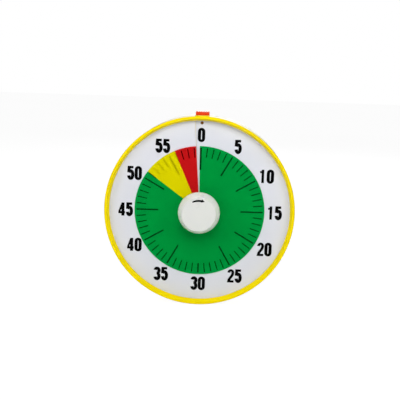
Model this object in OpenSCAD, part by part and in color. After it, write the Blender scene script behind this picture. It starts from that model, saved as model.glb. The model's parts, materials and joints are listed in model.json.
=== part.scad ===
// Visual countdown timer: a round clock whose tinted disc slides through a cut in the dial as time runs down.
// The back face lies in the XZ plane, the shaft axis is Y and the front faces -Y. A depth is a distance from
// the back face towards the front, and an angle phi runs clockwise from the top as seen from the front.

/* [Bezel] */
// Outer diameter of the bezel ring
bezel_d = 190; // [184:1:230]
// Width of the rim as seen from the front
rim_w = 4.6; // [4:0.1:6]
// Height of the rim's crest above its seat on the case
rim_h = 6.6; // [2.6:0.1:8]
// Height of the upright inner edge of the rim
rim_lip = 0.9; // [0.4:0.1:1.5]
// Radius of the rounded outer edge of the rim
rim_round = 2.2; // [1.2:0.1:2.4]
// Thickness of the skirt that reaches round the case
skirt_t = 1.95; // [1.4:0.05:2.6]
// Length of the skirt behind its seat
skirt_len = 5.5; // [4.5:0.1:6.5]
// Taper of the rim's outer face towards its back edge
skirt_taper = 0.7; // [0.3:0.1:1]
// Width of the raised guard in front of the button
guard_w = 14.3; // [12:0.1:20]
// Height of that guard above the rim
guard_h = 0.2; // [0.2:0.1:1]
// Height of the snap bead inside the skirt
bead_h = 0.25; // [0.15:0.05:0.4]

/* [Case] */
// Depth of the case from the back face to its front edge
case_depth = 33; // [30:0.5:48]
// Depth of the rear half of the case
rear_depth = 14; // [12.5:0.5:15]
// Wall of the case and floor of its rear half
case_wall = 2.2; // [1.8:0.1:3]
// Thickness of the front panel behind the dial
panel_t = 2; // [1.6:0.1:2.6]
// Thickness of the front edge that the bezel sits on
edge_t = 1.5; // [1.2:0.1:2]
// Step of the case behind the bezel's skirt
case_step = 1.2; // [0.4:0.1:1.4]
// Radius of the rounded back edge
back_round = 4; // [2.5:0.5:6]
// Length of the lip that joins the two halves
lip_len = 2; // [1.5:0.5:3]
// Thickness of that lip
lip_t = 1.2; // [1:0.1:1.6]

/* [Dial] */
// Depth of the dial's seat below the case's front edge
dial_recess = 2.35; // [2.3:0.05:3.5]
// Thickness of the dial sheet
sheet_t = 0.5; // [0.4:0.05:0.8]
// Thickness of the dial's outer ring at its lowest place
ring_t = 0.55; // [0.4:0.05:1]
// Angle of the radial cut
slit_phi = -4.25; // [-6:0.25:-3]
// Angle that the cut takes out of the sheet
slit_open = 0.3; // [0.3:0.1:1]
// Diameter of the hole round the disc hub
dial_hole_d = 13.6; // [13:0.2:18]

/* [Timer disc] */
// Diameter of the tinted disc
disc_d = 130; // [110:1:136]
// Thickness of the disc film
film_t = 0.4; // [0.25:0.05:0.6]
// Gap between the film and the dial sheet
film_gap = 0.3; // [0.2:0.05:0.5]
// Angle of the green trailing edge on the dial
trail_phi = -1.3; // [-2:0.1:3]
// Angle of the red leading edge on the dial
lead_phi = 355.5; // [340:0.1:355.5]
// Diameter of the disc hub
hub_d = 12; // [10:0.5:12.5]

/* [Knob] */
// Largest diameter of the knob
knob_d = 42; // [34:1:52]
// Diameter of its flat face
knob_face_d = 32.4; // [30:0.2:36]
// Diameter of the tapered grip at its front end
grip_end_d = 35.4; // [34:0.2:40]
// Diameter of its foot
knob_foot_d = 32; // [26:1:38]
// Height of the knob
knob_h = 19.3; // [18.5:0.1:24]
// Height of the flare from the foot to the grip
flare_h = 9.6; // [7:0.1:10]
// Height of the grip
grip_h = 7.8; // [5:0.1:8.5]
// Number of flutes round the grip
flutes = 90; // [60:2:100]
// Depth of a flute
flute_deep = 0.75; // [0.3:0.05:0.8]
// Wall of the knob
knob_wall = 2; // [1.5:0.1:2.5]
// Ribs inside the knob
knob_ribs = 6; // [4:1:8]
// Gap between the knob's foot and the disc hub
knob_gap = 0.4; // [0.3:0.1:1]

/* [Shaft and clutch] */
// Diameter of the shaft
shaft_d = 6; // [5:0.5:7]
// Depth of the flat on the shaft
shaft_flat = 0.8; // [0.5:0.1:1.2]
// Diameter of the pivot at the shaft's back end
pivot_d = 3; // [2.4:0.2:3.4]
// Diameter of the collar behind the bearing
collar_d = 12; // [10:0.5:13]
// Thickness of the collar
collar_t = 1; // [0.8:0.1:1.4]
// Height of the coned clutch spring
clutch_h = 1; // [0.8:0.1:1.2]
// Thickness of the retaining ring
clip_t = 0.6; // [0.5:0.1:0.7]
// Thickness of the cam that works the zero switch
cam_t = 2; // [1.5:0.1:2.2]

/* [Gear train] */
// Module of the gears
gear_m = 0.5; // [0.45:0.01:0.52]
// Teeth of a wheel
wheel_teeth = 60; // [56:2:62]
// Teeth of a pinion
pinion_teeth = 12; // [12:1:14]
// Width of the main wheel
main_wheel_w = 2.5; // [2:0.1:2.8]
// Width of the idler wheel
idler_wheel_w = 1.6; // [1.2:0.1:1.8]
// Diameter of the idler's axle
axle_d = 2; // [1.6:0.1:2.2]
// Direction of the idler as seen from the shaft, anticlockwise from +X
idler_dir = 225; // [220:1:235]
// Direction of the motor as seen from the idler
motor_dir = 300; // [290:1:305]

/* [Motor] */
// Diameter of the motor can
can_d = 20; // [16:0.5:21]
// Length of the motor can
can_len = 8; // [6:0.5:10]
// Wall of the motor can
can_wall = 0.8; // [0.6:0.1:1]
// Thickness of the motor's end plate
end_plate_t = 0.7; // [0.5:0.1:1]
// Diameter of the rotor shaft
rotor_shaft_d = 1.5; // [1.2:0.1:1.8]
// Diameter of the rotor magnet
rotor_d = 10.4; // [8:0.2:11]

/* [Movement case] */
// Wall of the movement case and its cover
movement_wall = 1.5; // [1.2:0.1:1.6]
// Room between the train and the movement case
train_gap = 1; // [0.8:0.1:1.6]
// Room between the movement case and the panel in front of it
floor_gap = 1.4; // [1:0.1:2]
// Radius of the movement case's ears
ear_r = 3.6; // [3.2:0.1:4.5]
// Diameter of a movement screw's shank
movement_screw_d = 2; // [1.8:0.1:2.4]

/* [Button] */
// Width of the button
button_w = 13.5; // [10:0.5:18]
// Size of the button from front to back
button_t = 10; // [8:0.5:10.5]
// Height of the button above the bezel
button_rise = 3.6; // [3:0.1:6]
// Travel of the button
button_travel = 2.5; // [1:0.1:3]
// Pitch of the ribs on the button
rib_pitch = 2.2; // [1.6:0.1:3]
// Width of the flange beyond the button's sides
flange_reach = 1.5; // [1:0.1:2]
// Length of the return spring
return_len = 8.5; // [7:0.5:10]
// Wire of the return spring
return_wire = 0.7; // [0.5:0.05:0.8]

/* [Circuit board] */
// Width of the board
board_w = 48; // [44:1:50]
// Thickness of the board
board_t = 1.6; // [1.2:0.1:2]
// Distance of the board's pegs from its edges
peg_inset = 4; // [3.5:0.5:6]
// Size of the timer chip
chip_w = 9; // [6:0.5:12]
// Diameter of the sounder
sounder_d = 23; // [18:1:26]
// Height of the sounder
sounder_h = 6; // [4:0.5:8]
// Travel of the sound switch
switch_travel = 5; // [3:0.5:5.5]

/* [Battery bay] */
// Diameter of the AA cell
cell_d = 14.2; // [13.8:0.1:14.5]
// Length of the AA cell
cell_len = 50.5; // [49.5:0.1:50.5]
// Length of the contact spring under load
contact_len = 5.3; // [4:0.1:6]
// Outer diameter of the contact spring
contact_spring_d = 8; // [6:0.5:10]
// Wire of the contact spring
contact_wire = 0.8; // [0.6:0.1:1]
// Thickness of the contact plates
contact_t = 0.5; // [0.3:0.1:0.6]
// Width of a contact plate
contact_w = 11; // [10:0.5:13]
// Thickness of the battery door
door_t = 1.8; // [1.4:0.1:2.2]
// Diameter of the door's hinge barrel
door_barrel_d = 6; // [5:0.2:6.4]
// Diameter of the door's trunnions
trunnion_d = 2.4; // [2:0.1:2.8]

/* [Stand leg] */
// Thickness of the leg
leg_t = 2.6; // [2.2:0.1:3]
// Width of the leg at its shoulder
leg_w = 40; // [36:1:46]
// Width of the leg at its end
leg_end_w = 30; // [20:1:30]
// Diameter of the leg's hinge barrel
leg_barrel_d = 5; // [4.4:0.1:5.2]
// Diameter of the hinge pin
leg_pin_d = 3; // [2:0.1:3]
// Height of the leg's hinge below the shaft axis
leg_drop = 8; // [6:1:12]

/* [Fixings] */
// Diameter of a case screw's shank
case_screw_d = 3; // [2.5:0.1:3.5]
// Diameter of a case screw's head
case_head_d = 6; // [5:0.2:6.4]
// Diameter of a board magnet
magnet_d = 16; // [12:1:18]
// Thickness of a board magnet
magnet_t = 3; // [2:0.5:4]
// Diameter of the keyhole's entry
keyhole_d = 9; // [7:0.5:10]
// Width of the keyhole's slot
keyhole_slot = 4.2; // [3:0.1:4.6]
// Diameter of the dial screw's head
dial_screw_d = 3.2; // [2.4:0.1:3.6]

/* [Clearances] */
// Radial clearance of a running fit
run_fit = 0.05; // [0.03:0.01:0.08]
// Radial clearance of a fixed fit
tight_fit = 0.02; // [0.01:0.01:0.03]
// Gap beside a sliding or swinging piece
slide_gap = 0.3; // [0.25:0.05:0.4]

/* [Hidden] */
$fn = 72;

// Case radii
bezel_r = bezel_d / 2;
case_r = bezel_r - skirt_t - run_fit;
case_in_r = case_r - case_wall;
edge_in_r = case_r - edge_t;
back_r = case_r + case_step;
lip_r = case_in_r - 0.1;
flat_r = back_r - back_round;

// Depths of the dial and of the film, which rises by one pitch per turn
dial_seat = case_depth - dial_recess;
dial_low = dial_seat + ring_t;
film_low = dial_low + film_gap;
pitch = sheet_t + film_t + 2 * film_gap;
pan_gap = 1.1;
pan_front = film_low - pitch - pan_gap;
pan_back = pan_front - panel_t;
panel_back = dial_seat - panel_t;
disc_r = disc_d / 2;
pan_r = disc_r + 1.5;
dial_step_r = pan_r + 1;
dial_r = edge_in_r - 0.2;
sheet_steps = 90;

// Hub and knob
hub_r = hub_d / 2;
hub_back = film_low - 0.7;
hub_front = film_low + pitch + film_t + 1.2;
knob_back = hub_front + knob_gap;
knob_front = knob_back + knob_h;
grip_back = knob_back + flare_h;
grip_front = grip_back + grip_h;
knob_r = knob_d / 2;
shaft_r = shaft_d / 2;
shaft_front = knob_front - 4.3;

// Leg hinge, which sets how far back the movement can lie
leg_pin_depth = leg_barrel_d / 2 + 0.2;
leg_pocket = leg_pin_depth + leg_barrel_d / 2 + 0.4;
leg_pocket_wall = 1.4;
leg_recess = leg_t + 0.4;
hinge_below = 4.8;
hinge_above = 3.8;
leg_foot_z = 2 - flat_r;

// Depths along the shaft, from the back of the movement
cover_back = leg_pocket + leg_pocket_wall + 0.5;
cover_front = cover_back + movement_wall;
idler_back = cover_front + 0.6;
idler_mid = idler_back + idler_wheel_w;
shaft_step = idler_mid + 0.3;
clip_back = shaft_step + 0.4;
clip_front = clip_back + clip_t;
main_back = clip_front + clutch_h;
main_front = main_back + main_wheel_w;
collar_front = main_front + collar_t;
idler_front = main_front + 0.5;
floor_front = pan_back - floor_gap;
floor_back = floor_front - movement_wall;
cam_front = floor_back - 1.2;
cam_back = cam_front - cam_t;
boss_r = shaft_r + 3;
boss_back = cam_front + 0.5;
flat_back = hub_back - pitch - 0.3;

// Gear train: the idler and the motor stand one centre distance apart
wheel_r = gear_m * wheel_teeth / 2;
pinion_r = gear_m * pinion_teeth / 2;
wheel_tip = wheel_r + gear_m;
centre_dist = wheel_r + pinion_r;
idler_x = centre_dist * cos(idler_dir);
idler_z = centre_dist * sin(idler_dir);
motor_x = idler_x + centre_dist * cos(motor_dir);
motor_z = idler_z + centre_dist * sin(motor_dir);
can_r = can_d / 2;
can_back = floor_back - can_len;
pinion_back = idler_back - 0.2;
backlash = 0.08;
pressure_angle = 25;

// Movement case, from the room that the train takes
move_x0 = min(idler_x - wheel_tip, motor_x - can_r) - train_gap - movement_wall;
move_x1 = wheel_tip + train_gap + movement_wall;
move_z0 = min(idler_z - wheel_tip, motor_z - can_r) - train_gap - movement_wall;
move_z1 = move_x1;
move_ears = [[move_x1 + ear_r, 8], [move_x1 + ear_r, -26], [move_x0 - ear_r, idler_z]];

// Battery bay
bay_wall = 1.6;
cell_r = cell_d / 2;
bay_x = (cell_len + contact_len + 2 * contact_t) / 2 + 0.15;
door_x = bay_x - slide_gap;
barrel_r = door_barrel_d / 2;
bay_z0 = move_z1 + bay_wall + 5.4;
door_z = bay_z0 + barrel_r + 1;
cell_z = door_z + barrel_r + 1.4 + cell_r;
bay_z1 = cell_z + cell_r + 1.9;
cell_depth = door_t + 1.1 + cell_r;
bay_depth = cell_depth + cell_r + 1.4;
cell_x1 = bay_x - contact_t - 0.1;
cell_x0 = cell_x1 - cell_len;
nub_len = 1.3;

// Button, its shelf and the switch below it
skirt_back = case_depth - skirt_len;
button_mid = skirt_back - 1 - button_t / 2;
button_top = bezel_r + button_rise;
button_back = button_mid - button_t / 2;
button_front = button_mid + button_t / 2;
flange_x = button_w / 2 + flange_reach;
guide_x = flange_x + 2.5;
flange_t = 1.6;
flange_top = sqrt(case_in_r * case_in_r - flange_x * flange_x) - 0.1;
shelf_top = flange_top - flange_t - return_len;
shelf_t = 1.6;
stem_r = 2.3;
stem_end = shelf_top - shelf_t - 0.5;
tact_top = stem_end - button_travel - 0.3;

// Circuit board
board_front = button_mid - 1.5;
board_back = board_front - board_t;
board_z0 = bay_z1 + bay_wall + 0.9;
board_z1 = tact_top - 0.3;
board_x = board_w / 2;
board_mid_z = (board_z0 + board_z1) / 2;
peg_r = 1.2;
crystal_r = 1;
crystal_len = 6;
peg_xs = [peg_inset - board_x, board_x - peg_inset];
peg_zs = [board_z0 + peg_inset, board_z1 - peg_inset];

// Places on the rear half
screw_ring_r = case_r - 13.15;
screw_phis = [22, 90, 158, 202, 270, 338];
magnet_ring_r = case_r - 19;
magnet_skin = 0.8;
side_inset = 37;
side_x = case_r - side_inset;
side_z = 12;
screw_seat = 10;
keyhole_inset = 27;
keyhole_z = case_r - keyhole_inset;
keyhole_rise = 8;
keyhole_room = 3.4;
sounder_lift = 1;
sounder_seat = 5;
sounder_ledge = 3;
sound_hole_ring = 4.5;
slider_room_x = 5;
slider_room_z = 3;
dial_screw_inset = 3.3;
dial_screw_z = dial_r - dial_screw_inset;

// ---- Helpers ----

// Solid turned round the shaft axis from an outline of [radius, depth] points
module turned(outline) rotate([90, 0, 0]) rotate_extrude() polygon(outline);

// Round bar along the depth at (x, z)
module bar(r, d0, d1, x = 0, z = 0)
    translate([x, -d0, z]) rotate([90, 0, 0]) cylinder(r = r, h = d1 - d0);

// Flat shape drawn as seen from the front, filled between two depths
module slab(d0, d1) translate([0, -d0, 0]) rotate([90, 0, 0]) linear_extrude(d1 - d0) children();

// Box between two x values, two depths and two z values
module block(x0, x1, d0, d1, z0, z1)
    translate([x0, -d1, z0]) cube([x1 - x0, d1 - d0, z1 - z0]);

// Puts its children at a radius and an angle on the face
module around(r, phi) translate([r * sin(phi), 0, r * cos(phi)]) children();

// Points of an arc
function arc(x, y, r, a0, a1, n) = [for (i = [0:n])
    let(a = a0 + (a1 - a0) * i / n) [x + r * cos(a), y + r * sin(a)]];

// Skin of a solid that runs through rings of equally many points, closed at both ends
module through(rings) {
    n = len(rings);
    m = len(rings[0]);
    points = [for (ring = rings) for (p = ring) p];
    sides = [for (i = [0:n - 2]) for (j = [0:m - 1]) let(k = (j + 1) % m)
        each [[i * m + j, i * m + k, (i + 1) * m + k], [i * m + j, (i + 1) * m + k, (i + 1) * m + j]]];
    ends = [[for (j = [m - 1:-1:0]) j], [for (j = [0:m - 1]) (n - 1) * m + j]];
    polyhedron(points, concat(sides, ends), convexity = 8);
}

// Sheet that winds round the shaft axis: outline(u) of [radius, depth] at each angle u after the cut
function wound(outline, u) = [for (p = outline)
    [p[0] * sin(slit_phi + u), -p[1], p[0] * cos(slit_phi + u)]];

// Wire that follows a helix of whole turns along Z
module coil(r, wire_d, len, turns, steps = 14, sides = 6) {
    rise = len - wire_d;
    last = turns * steps;
    through([for (i = [0:last]) let(a = 360 * i / steps, z = wire_d / 2 + rise * i / last)
        [for (j = [0:sides - 1]) let(b = 360 * j / sides, q = r + wire_d / 2 * cos(b))
            [q * cos(a), q * sin(a), z + wire_d / 2 * sin(b)]]]);
}

// Round section with a flat, as on the shaft
module flat_section(r) difference() {
    circle(r);
    translate([r - shaft_flat, -r]) square([shaft_flat + 1, 2 * r]);
}

// Half the angle that a tooth spans at radius r
function inv(a) = tan(a) * 180 / PI - a;
function tooth_half(teeth, r) = let(rp = gear_m * teeth / 2, rb = rp * cos(pressure_angle))
    90 / teeth - backlash / rp * 90 / PI + inv(pressure_angle) - inv(acos(min(1, rb / max(r, rb))));

// Outline of a spur gear with one tooth centred at the angle phase
function gear_outline(teeth, phase) = let(rp = gear_m * teeth / 2, rb = rp * cos(pressure_angle),
        root = rp - 1.25 * gear_m, start = max(root, rb + 0.001), tip = rp + gear_m,
        flank = concat(root < rb ? [root] : [], [for (k = [0:4]) start + (tip - start) * k / 4]))
    [for (t = [0:teeth - 1]) let(mid = phase + 360 * t / teeth)
        for (side = [-1, 1]) for (k = [0:len(flank) - 1])
            let(r = side < 0 ? flank[k] : flank[len(flank) - 1 - k], a = mid + side * tooth_half(teeth, r))
                [r * cos(a), r * sin(a)]];

// Phase that meshes a gear with the one it turns against, in the direction dir from that one
function mesh_phase(dir, phase, teeth, next_teeth) =
    dir + 180 - 360 / next_teeth * (0.5 - (dir - phase) * teeth / 360);

idler_phase = mesh_phase(idler_dir, 0, wheel_teeth, pinion_teeth);
motor_phase = mesh_phase(motor_dir, 0, wheel_teeth, pinion_teeth);

// Cross recess of a screw head
module cross_recess(w, deep, d0) for (a = [0, 90])
    translate([0, -d0 + 1, 0]) rotate([90, a, 0]) translate([-w / 2, -w / 8, 0]) cube([w, w / 4, deep + 1]);

// ---- Bezel and case ----

module bezel() color("gold") {
    in_r = bezel_r - rim_w;
    crest = case_depth + rim_h;
    bead = case_depth - 3.5;
    block(-guard_w / 2, guard_w / 2, skirt_back, crest - rim_round, bezel_r - skirt_taper - 1,
        bezel_r + guard_h);
    turned(concat(
        [[in_r, case_depth], [in_r, case_depth + rim_lip]],
        arc(bezel_r - rim_round, crest - rim_round, rim_round, 110, 0, 7),
        [[bezel_r - skirt_taper, skirt_back + 0.4], [bezel_r - skirt_taper - 0.3, skirt_back],
         [bezel_r - skirt_t, skirt_back], [bezel_r - skirt_t, bead - 0.4],
         [bezel_r - skirt_t - bead_h, bead - 0.1], [bezel_r - skirt_t - bead_h, bead + 0.1],
         [bezel_r - skirt_t, bead + 0.4], [bezel_r - skirt_t, case_depth]]));
}

module front_case() color("ivory") {
    bead = case_depth - 3.5;
    groove = bead_h + 0.15;
    difference() {
        union() {
            turned([[shaft_r + run_fit, pan_front], [pan_r, pan_front], [pan_r, dial_seat],
                [edge_in_r, dial_seat], [edge_in_r, case_depth], [case_r, case_depth],
                [case_r, bead + 0.6], [case_r - groove, bead + 0.2], [case_r - groove, bead - 0.2],
                [case_r, bead - 0.6], [case_r, skirt_back - 0.3], [back_r - 0.3, skirt_back - 0.3],
                [back_r, skirt_back - 0.6], [back_r, rear_depth], [case_in_r, rear_depth],
                [case_in_r, panel_back], [pan_r + panel_t + 0.2, panel_back],
                [pan_r + panel_t + 0.2, pan_back], [boss_r, pan_back], [boss_r, boss_back],
                [shaft_r + run_fit, boss_back]]);
            for (phi = screw_phis) around(screw_ring_r, phi)
                bar(case_screw_d / 2 + 2.1, rear_depth + lip_len, panel_back + 0.5);
            for (p = move_ears) bar(ear_r, floor_front, pan_back + 0.5, p[0], p[1]);
            for (x = peg_xs) {
                bar(peg_r + 1.4, board_front, pan_back + 0.5, x, peg_zs[0]);
                bar(peg_r + 1.4, board_front, panel_back + 0.5, x, peg_zs[1]);
                for (z = peg_zs) bar(peg_r, board_back - 0.4, board_front + 0.5, x, z);
            }
            for (side = [-1, 1])
                block(side * guide_x - 0.8, side * guide_x + 0.8, button_back, panel_back + 0.5,
                    shelf_top - shelf_t, flange_top - 2);
            block(-guide_x, guide_x, button_back, panel_back + 0.5, shelf_top - shelf_t, shelf_top);
        }
        for (phi = screw_phis) around(screw_ring_r, phi)
            bar(case_screw_d / 2 + tight_fit, rear_depth + lip_len - 1, panel_back - 1.5);
        for (p = move_ears)
            bar(movement_screw_d / 2 + tight_fit, floor_front - 1, pan_front - 0.7, p[0], p[1]);
        button_room(button_w / 2 + slide_gap);
        translate([0, -button_mid, shelf_top - shelf_t - 1])
            cylinder(r = stem_r + slide_gap, h = shelf_t + 2);
        bar(dial_screw_d / 4 + tight_fit, panel_back + 0.6, case_depth, 0, dial_screw_z);
    }
}

// Room for the button in the edge of the case
module button_room(half) block(-half, half, button_back - slide_gap, button_front + slide_gap,
    flange_top - 2, bezel_r + guard_h + 1);

// Outline of the stand leg, grown by a margin
module leg_outline(margin) {
    shoulder = -leg_drop - 4.5;
    neck = leg_w / 2 - 6 + margin;
    polygon([[-neck, -leg_drop], [neck, -leg_drop], [neck, shoulder + margin], [leg_w / 2 + margin,
        shoulder - 4 + margin], [leg_end_w / 2 + margin, leg_foot_z - margin], [-leg_end_w / 2 - margin,
        leg_foot_z - margin], [-leg_w / 2 - margin, shoulder - 4 + margin], [-neck, shoulder + margin]]);
}

module rear_case() color("ivory") {
    lug_x = leg_w / 2 - 6 + slide_gap;
    lug_t = 3;
    pocket_x = lug_x + lug_t + 0.5;
    difference() {
        union() {
            turned(concat([[0, 0]], arc(flat_r, back_round, back_round, -90, 0, 6),
                [[back_r, rear_depth], [lip_r, rear_depth], [lip_r, rear_depth + lip_len],
                 [lip_r - lip_t, rear_depth + lip_len], [lip_r - lip_t, rear_depth - lip_len],
                 [case_in_r, rear_depth - lip_len - lip_t], [case_in_r, back_round],
                 [case_in_r - back_round + case_wall, case_wall], [0, case_wall]]));
            for (phi = screw_phis) around(screw_ring_r, phi)
                bar(case_head_d / 2 + 1.5, case_wall / 2, rear_depth + lip_len);
            block(-bay_x - bay_wall, bay_x + bay_wall, 0, bay_depth + bay_wall,
                bay_z0 - bay_wall, bay_z1 + bay_wall);
            slab(0, leg_recess + case_wall - 0.6) leg_outline(2);
            block(-pocket_x - bay_wall, pocket_x + bay_wall, 0, leg_pocket + leg_pocket_wall,
                -leg_drop - hinge_below - bay_wall, -leg_drop + hinge_above + bay_wall);
            for (phi = [45:90:315]) around(magnet_ring_r, phi)
                bar(magnet_d / 2 + 1.2, case_wall / 2, magnet_skin + magnet_t);
            bar(sounder_d / 2 + 1.4, case_wall / 2, case_wall + sounder_seat, side_x, side_z);
            block(-keyhole_d / 2 - 2.5, keyhole_d / 2 + 2.5, case_wall / 2, case_wall + keyhole_room + 1.4,
                keyhole_z - keyhole_d / 2 - 2.5, keyhole_z + keyhole_rise + keyhole_slot / 2 + 1.5);
        }
        for (phi = screw_phis) around(screw_ring_r, phi) {
            bar(case_head_d / 2 + slide_gap, -1, screw_seat);
            bar(case_screw_d / 2 + slide_gap, 0, rear_depth + lip_len + 1);
        }
        button_room(flange_x + slide_gap);
        block(-bay_x, bay_x, -1, bay_depth, bay_z0, bay_z1);
        translate([-bay_x - 1.4, -barrel_r, door_z]) rotate([0, 90, 0])
            cylinder(r = trunnion_d / 2 + run_fit, h = 2 * bay_x + 2.8);
        slab(-1, leg_recess) leg_outline(0.4);
        block(-pocket_x, pocket_x, -1, leg_pocket, -leg_drop - hinge_below, -leg_drop + hinge_above);
        for (phi = [45:90:315]) around(magnet_ring_r, phi)
            bar(magnet_d / 2 + run_fit, magnet_skin, magnet_skin + magnet_t + 1);
        bar(sounder_d / 2 + 0.2, case_wall, case_wall + sounder_seat + 1, side_x, side_z);
        bar(0.9, -1, case_wall + 1, side_x, side_z);
        for (a = [0:60:300])
            bar(0.9, -1, case_wall + 1, side_x + sound_hole_ring * cos(a),
                side_z + sound_hole_ring * sin(a));
        block(-side_x - slider_room_x - switch_travel / 2, -side_x + slider_room_x + switch_travel / 2,
            -1, 0.8, side_z - slider_room_z, side_z + slider_room_z);
        block(-side_x - 2.5 - switch_travel / 2, -side_x + 2.5 + switch_travel / 2, -1, case_wall + 1,
            side_z - 1.8, side_z + 1.8);
        bar(keyhole_d / 2, -1, case_wall + 1, 0, keyhole_z);
        block(-keyhole_slot / 2, keyhole_slot / 2, -1, case_wall + 1, keyhole_z, keyhole_z + keyhole_rise);
        block(-keyhole_d / 2 - 1, keyhole_d / 2 + 1, case_wall, case_wall + keyhole_room,
            keyhole_z - keyhole_d / 2 - 1, keyhole_z + keyhole_rise + keyhole_slot / 2);
    }
    for (side = [-1, 1]) difference() {
        block(side * (lug_x + lug_t / 2) - lug_t / 2, side * (lug_x + lug_t / 2) + lug_t / 2,
            0.4, leg_pocket + 0.4, -leg_drop - 2.5, -leg_drop + 2.5);
        translate([-pocket_x, -leg_pin_depth, -leg_drop]) rotate([0, 90, 0])
            cylinder(r = leg_pin_d / 2 + tight_fit, h = 2 * pocket_x);
    }
    for (a = [30, 150, 270]) translate([side_x, 0, side_z]) rotate([0, a, 0])
        block(sounder_d / 2 - sounder_ledge, sounder_d / 2 + 0.7, case_wall - 0.2, case_wall + sounder_lift,
            -0.8, 0.8);
}

// ---- Dial and disc ----

module dial() color("gainsboro") {
    hole_r = dial_hole_d / 2;
    difference() {
        through([for (i = [0:sheet_steps]) let(u = slit_open / 2 + (360 - slit_open) * i / sheet_steps,
                front = dial_low + pitch * u / 360)
            wound([[hole_r, front], [dial_r, front], [dial_r, dial_seat], [dial_step_r, dial_seat],
                [dial_step_r, front - sheet_t], [hole_r, front - sheet_t]], u)]);
        bar(dial_screw_d / 4 + slide_gap / 2, dial_seat - 1, case_depth + 1, 0, dial_screw_z, $fn = 12);
    }
}

module dial_screw() color("darkgoldenrod") {
    seat = dial_low + pitch * (1 - slit_phi) / 360;
    bar(dial_screw_d / 4, panel_back + 0.8, seat + 0.2, 0, dial_screw_z);
    bar(dial_screw_d / 2, seat, seat + 0.6, 0, dial_screw_z);
}

module timer_disc() color("seagreen") {
    u0 = trail_phi - slit_phi;
    u1 = lead_phi - slit_phi;
    in_r = hub_r + tight_fit;
    through([for (i = [0:sheet_steps]) let(u = u0 + (u1 - u0) * i / sheet_steps,
            back = film_low + pitch * u / 360)
        wound([[in_r, back + film_t], [disc_r, back + film_t], [disc_r, back], [in_r, back]], u)]);
}

module disc_hub() color("white") slab(hub_back, hub_front) difference() {
    circle(hub_r);
    flat_section(shaft_r + run_fit);
}

// ---- Knob, shaft and clutch ----

module knob() color("whitesmoke") {
    foot_r = knob_foot_d / 2;
    face_r = knob_face_d / 2;
    end_r = grip_end_d / 2;
    rise = knob_front - grip_front;
    sleeve_r = shaft_r + 2.2;
    taper = (knob_r - end_r) / grip_h;
    difference() {
        intersection() {
            turned(concat([[0, knob_back], [foot_r, knob_back]],
                [for (i = [1:6]) [foot_r + (knob_r - foot_r) * pow(i / 6, 1.6), knob_back + flare_h * i / 6]],
                [for (i = [0:6]) [face_r + (end_r - face_r) * cos(15 * i), grip_front + rise * sin(15 * i)]],
                [[0, knob_front]]));
            through([for (d = [knob_front + 1, knob_back - 1]) let(top = knob_r - taper * (d - grip_back))
                [for (i = [0:2 * flutes - 1]) let(a = 180 * i / flutes, r = top + 0.01 - i % 2 * flute_deep)
                    [r * cos(a), -d, r * sin(a)]]]);
        }
        difference() {
            turned([[sleeve_r, knob_back - 1], [foot_r - knob_wall, knob_back - 1],
                [foot_r - knob_wall, knob_back + 1], [knob_r - knob_wall, grip_back],
                [end_r - knob_wall, grip_front - 1], [face_r - knob_wall, knob_front - knob_wall],
                [sleeve_r, knob_front - knob_wall]]);
            for (i = [0:knob_ribs - 1]) rotate([0, 360 * i / knob_ribs, 0])
                block(sleeve_r - 1, knob_r, knob_back + 1.5, knob_front, -0.6, 0.6);
        }
        slab(knob_back - 1, shaft_front + 0.1) flat_section(shaft_r + tight_fit);
    }
}

module shaft() color("silver") {
    difference() {
        union() {
            bar(shaft_r, shaft_step, flat_back);
            bar(collar_d / 2, main_front, collar_front);
            bar(pivot_d / 2, cover_back + 0.2, shaft_step + 0.1);
        }
        difference() {
            bar(shaft_r + 1, clip_back, clip_front);
            bar(shaft_r - 0.4, clip_back - 1, clip_front + 1);
        }
    }
    slab(flat_back, shaft_front) flat_section(shaft_r);
}

module zero_cam() color("ivory") slab(cam_back, cam_front) difference() {
    union() {
        circle(shaft_r + 2.5);
        translate([-1.2, 0]) square([2.4, shaft_r + 3.3]);
        translate([0, shaft_r + 3.3]) circle(1.2);
    }
    circle(shaft_r + tight_fit);
}

module main_wheel() color("white") slab(main_back, main_front) difference() {
    polygon(gear_outline(wheel_teeth, 0));
    circle(shaft_r + tight_fit);
    for (a = [0:72:288]) rotate(a) translate([(wheel_r + shaft_r) / 2 + 0.6, 0]) circle(wheel_r / 6);
}

module clutch_spring() color("silver")
    turned([[shaft_r + run_fit, clip_front], [shaft_r + 0.55, clip_front], [shaft_r + 3.5, main_back],
        [shaft_r + 3, main_back]]);

module retaining_ring() color("dimgray") slab(clip_back, clip_front) difference() {
    circle(shaft_r + 2);
    circle(shaft_r - 0.4 + tight_fit);
    translate([0, -1]) square([shaft_r + 3, 2]);
}

// ---- Gear train and motor ----

module idler_wheel() color("white") translate([idler_x, 0, idler_z]) {
    slab(idler_back, idler_mid) difference() {
        polygon(gear_outline(wheel_teeth, 0));
        circle(axle_d / 2 + run_fit);
    }
    slab(idler_mid, idler_front) difference() {
        polygon(gear_outline(pinion_teeth, idler_phase));
        circle(axle_d / 2 + run_fit);
    }
}

module idler_axle() color("silver")
    bar(axle_d / 2, cover_back + 0.2, floor_back + 0.8, idler_x, idler_z);

module motor_can() color("silver") translate([motor_x, 0, motor_z]) difference() {
    bar(can_r, can_back, floor_back);
    bar(can_r - can_wall, can_back - 1, floor_back - can_wall);
    bar(rotor_shaft_d / 2 + run_fit, can_back, floor_back + 1);
}

module motor_plate() color("lightgray") translate([motor_x, 0, motor_z]) difference() {
    bar(can_r, can_back - end_plate_t, can_back);
    bar(rotor_shaft_d / 2 + run_fit, can_back - 1.5, can_back + 1);
}

module motor_coil() color("chocolate") translate([motor_x, 0, motor_z]) difference() {
    bar(can_r - can_wall - 0.2, can_back + 0.6, floor_back - can_wall - 0.6);
    bar(rotor_d / 2 + 0.4, can_back, floor_back);
}

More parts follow.
